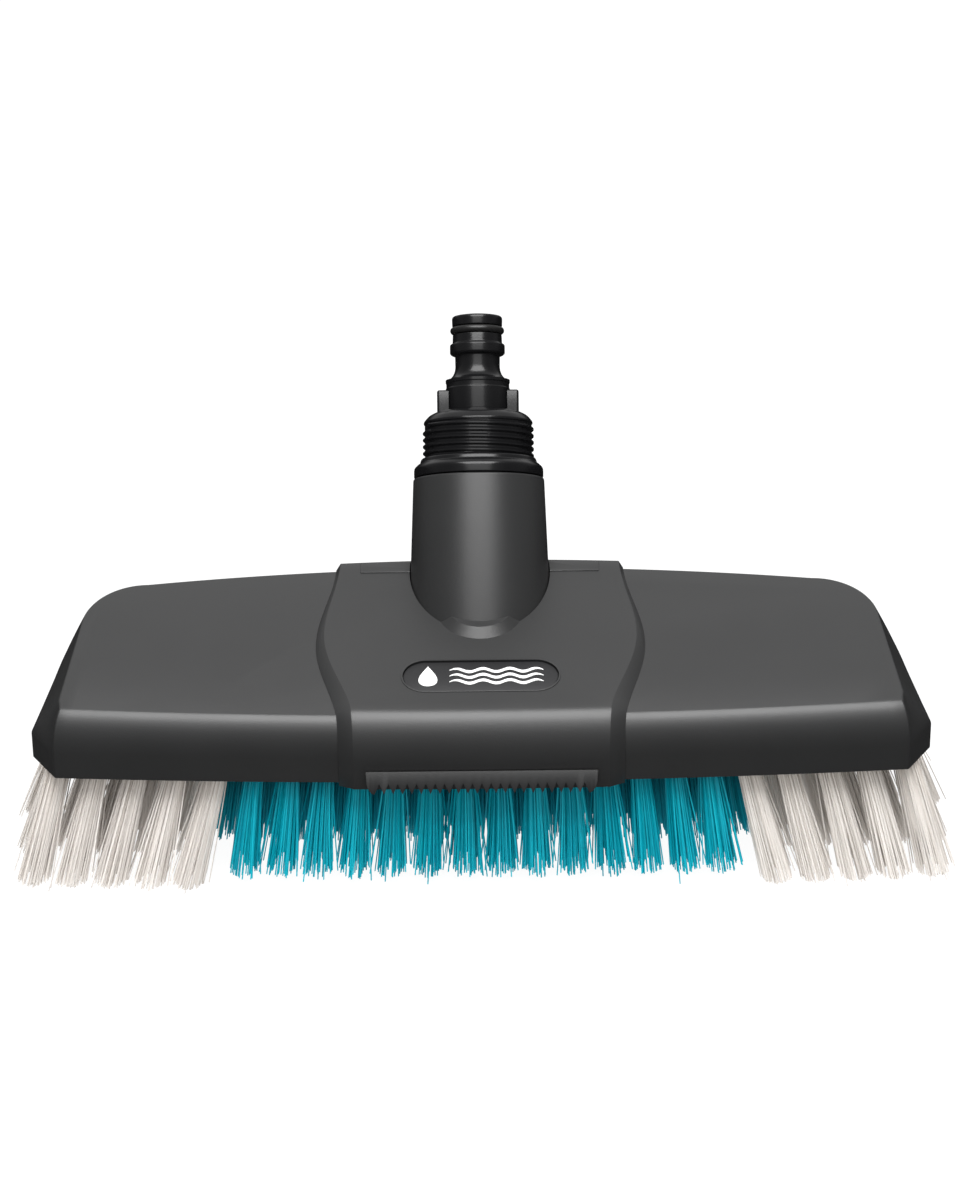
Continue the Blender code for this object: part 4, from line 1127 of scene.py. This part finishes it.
def makeCamera():
    data = bpy.data.cameras.new("camera")
    data.sensor_fit = "HORIZONTAL"
    data.sensor_width = 36.0
    data.lens = view["lens"]
    data.clip_start = 0.05
    data.clip_end = 50.0
    camera = bpy.data.objects.new("camera", data)
    bpy.context.scene.collection.objects.link(camera)
    turn = Matrix.Rotation(math.radians(90 - view["down"]), 4, "X")
    roll = Matrix.Rotation(math.radians(view["roll"]), 4, "Z")
    eye = Vector(view["eye"]) + Vector((0.0, middleY, 0.0))
    camera.matrix_world = Matrix.Translation(eye) @ turn @ roll
    bpy.context.scene.camera = camera


studio = {"floorGlow": 0.95, "floor": 0.10, "skyFront": 0.36, "skyBack": 0.80, "skySide": 0.30,
          "ground": 0.01}
lights = {
    "top softbox": {"place": (0, -0.44, 1.35), "aim": (0, -0.44, 0.0), "size": (1.3, 0.98), "power": 33.0},
    "front softbox": {"place": (0, -1.10, 1.12), "aim": (0, 0, 0.05), "size": (1.2, 0.75), "power": 5.0},
}


def softbox(name, settings):
    data = bpy.data.lights.new(name, "AREA")
    data.shape = "RECTANGLE"
    data.size, data.size_y = settings["size"]
    data.energy = settings["power"]
    lamp = bpy.data.objects.new(name, data)
    bpy.context.scene.collection.objects.link(lamp)
    lamp.location = settings["place"]
    aim = Vector(settings["aim"]) - Vector(settings["place"])
    lamp.rotation_euler = aim.to_track_quat("-Z", "Y").to_euler()


def makeSky():
    # pale above and behind, dimmer in front, dark under the horizon
    world = bpy.data.worlds.new("studio")
    world.use_nodes = True
    tree = world.node_tree
    direction = Wire(tree, tree.nodes.new("ShaderNodeTexCoord").outputs["Generated"])
    depth = direction.node("ShaderNodeSeparateXYZ", None, {0: direction}, 1)
    height = direction.node("ShaderNodeSeparateXYZ", None, {0: direction}, 2)
    back = depth.node("ShaderNodeMapRange", None, {
        "Value": depth, "From Min": -0.4, "From Max": 0.5,
        "To Min": studio["skyFront"], "To Max": studio["skyBack"]})
    above = height.node("ShaderNodeMapRange", None, {
        "Value": height, "From Min": -0.05, "From Max": 0.15, "To Min": 0.0, "To Max": 1.0})
    sideways = direction.node("ShaderNodeSeparateXYZ", None, {0: direction}, 0)
    side = sideways.math("ABSOLUTE", sideways, 0.0)
    middle = side.node("ShaderNodeMapRange", None, {
        "Value": side, "From Min": 0.35, "From Max": 0.75, "To Min": 1.0, "To Max": studio["skySide"]})
    (back * above * middle + studio["ground"]).into(tree.nodes["Background"].inputs[1])
    tree.nodes["Background"].inputs[0].default_value = (1, 1, 1, 1)
    bpy.context.scene.world = world


def makeStudio():
    deselectAll()
    bpy.ops.mesh.primitive_plane_add(size=12.0, location=(0, 2.0, 0))
    floor = bpy.context.object
    floor.name = "floor"
    bpy.ops.object.transform_apply(location=True, rotation=True, scale=True)
    material, shader, place = startMaterial("pale floor")
    tone = studio["floor"]
    place.noise(3.0).blendColor((tone,) * 3, (tone * 1.05,) * 3).into(shader.inputs["Base Color"])
    shader.inputs["Roughness"].default_value = 0.9
    shader.inputs["Specular IOR Level"].default_value = 0.1
    shader.inputs["Emission Color"].default_value = (1, 1, 1, 1)
    shader.inputs["Emission Strength"].default_value = studio["floorGlow"]
    floor.data.materials.append(material)
    floor.visible_glossy = False
    makeSky()
    for name, settings in lights.items():
        softbox(name, settings)


makeCamera()
makeStudio()
print("studio made")

# the pieces kept from the CAD take the finish of their slot
slotMaterials = {
    "moulded_grey": housingPlastic, "moulded_dark": badgePlastic, "moulded_black": connectorPlastic,
    "seal_rubber": sealRubber, "screw_steel": screwMetal,
}
nodeSlots = {part["node"]: part["material_slot"] for part in frame["record"]["subparts"]}
for node, piece in frame["nodes"].items():
    chosen = blockPlastic if node == "brush_block" else slotMaterials.get(nodeSlots[node])
    if chosen:
        piece.data.materials.clear()
        piece.data.materials.append(chosen)
print("materials given to the pieces kept from the CAD")
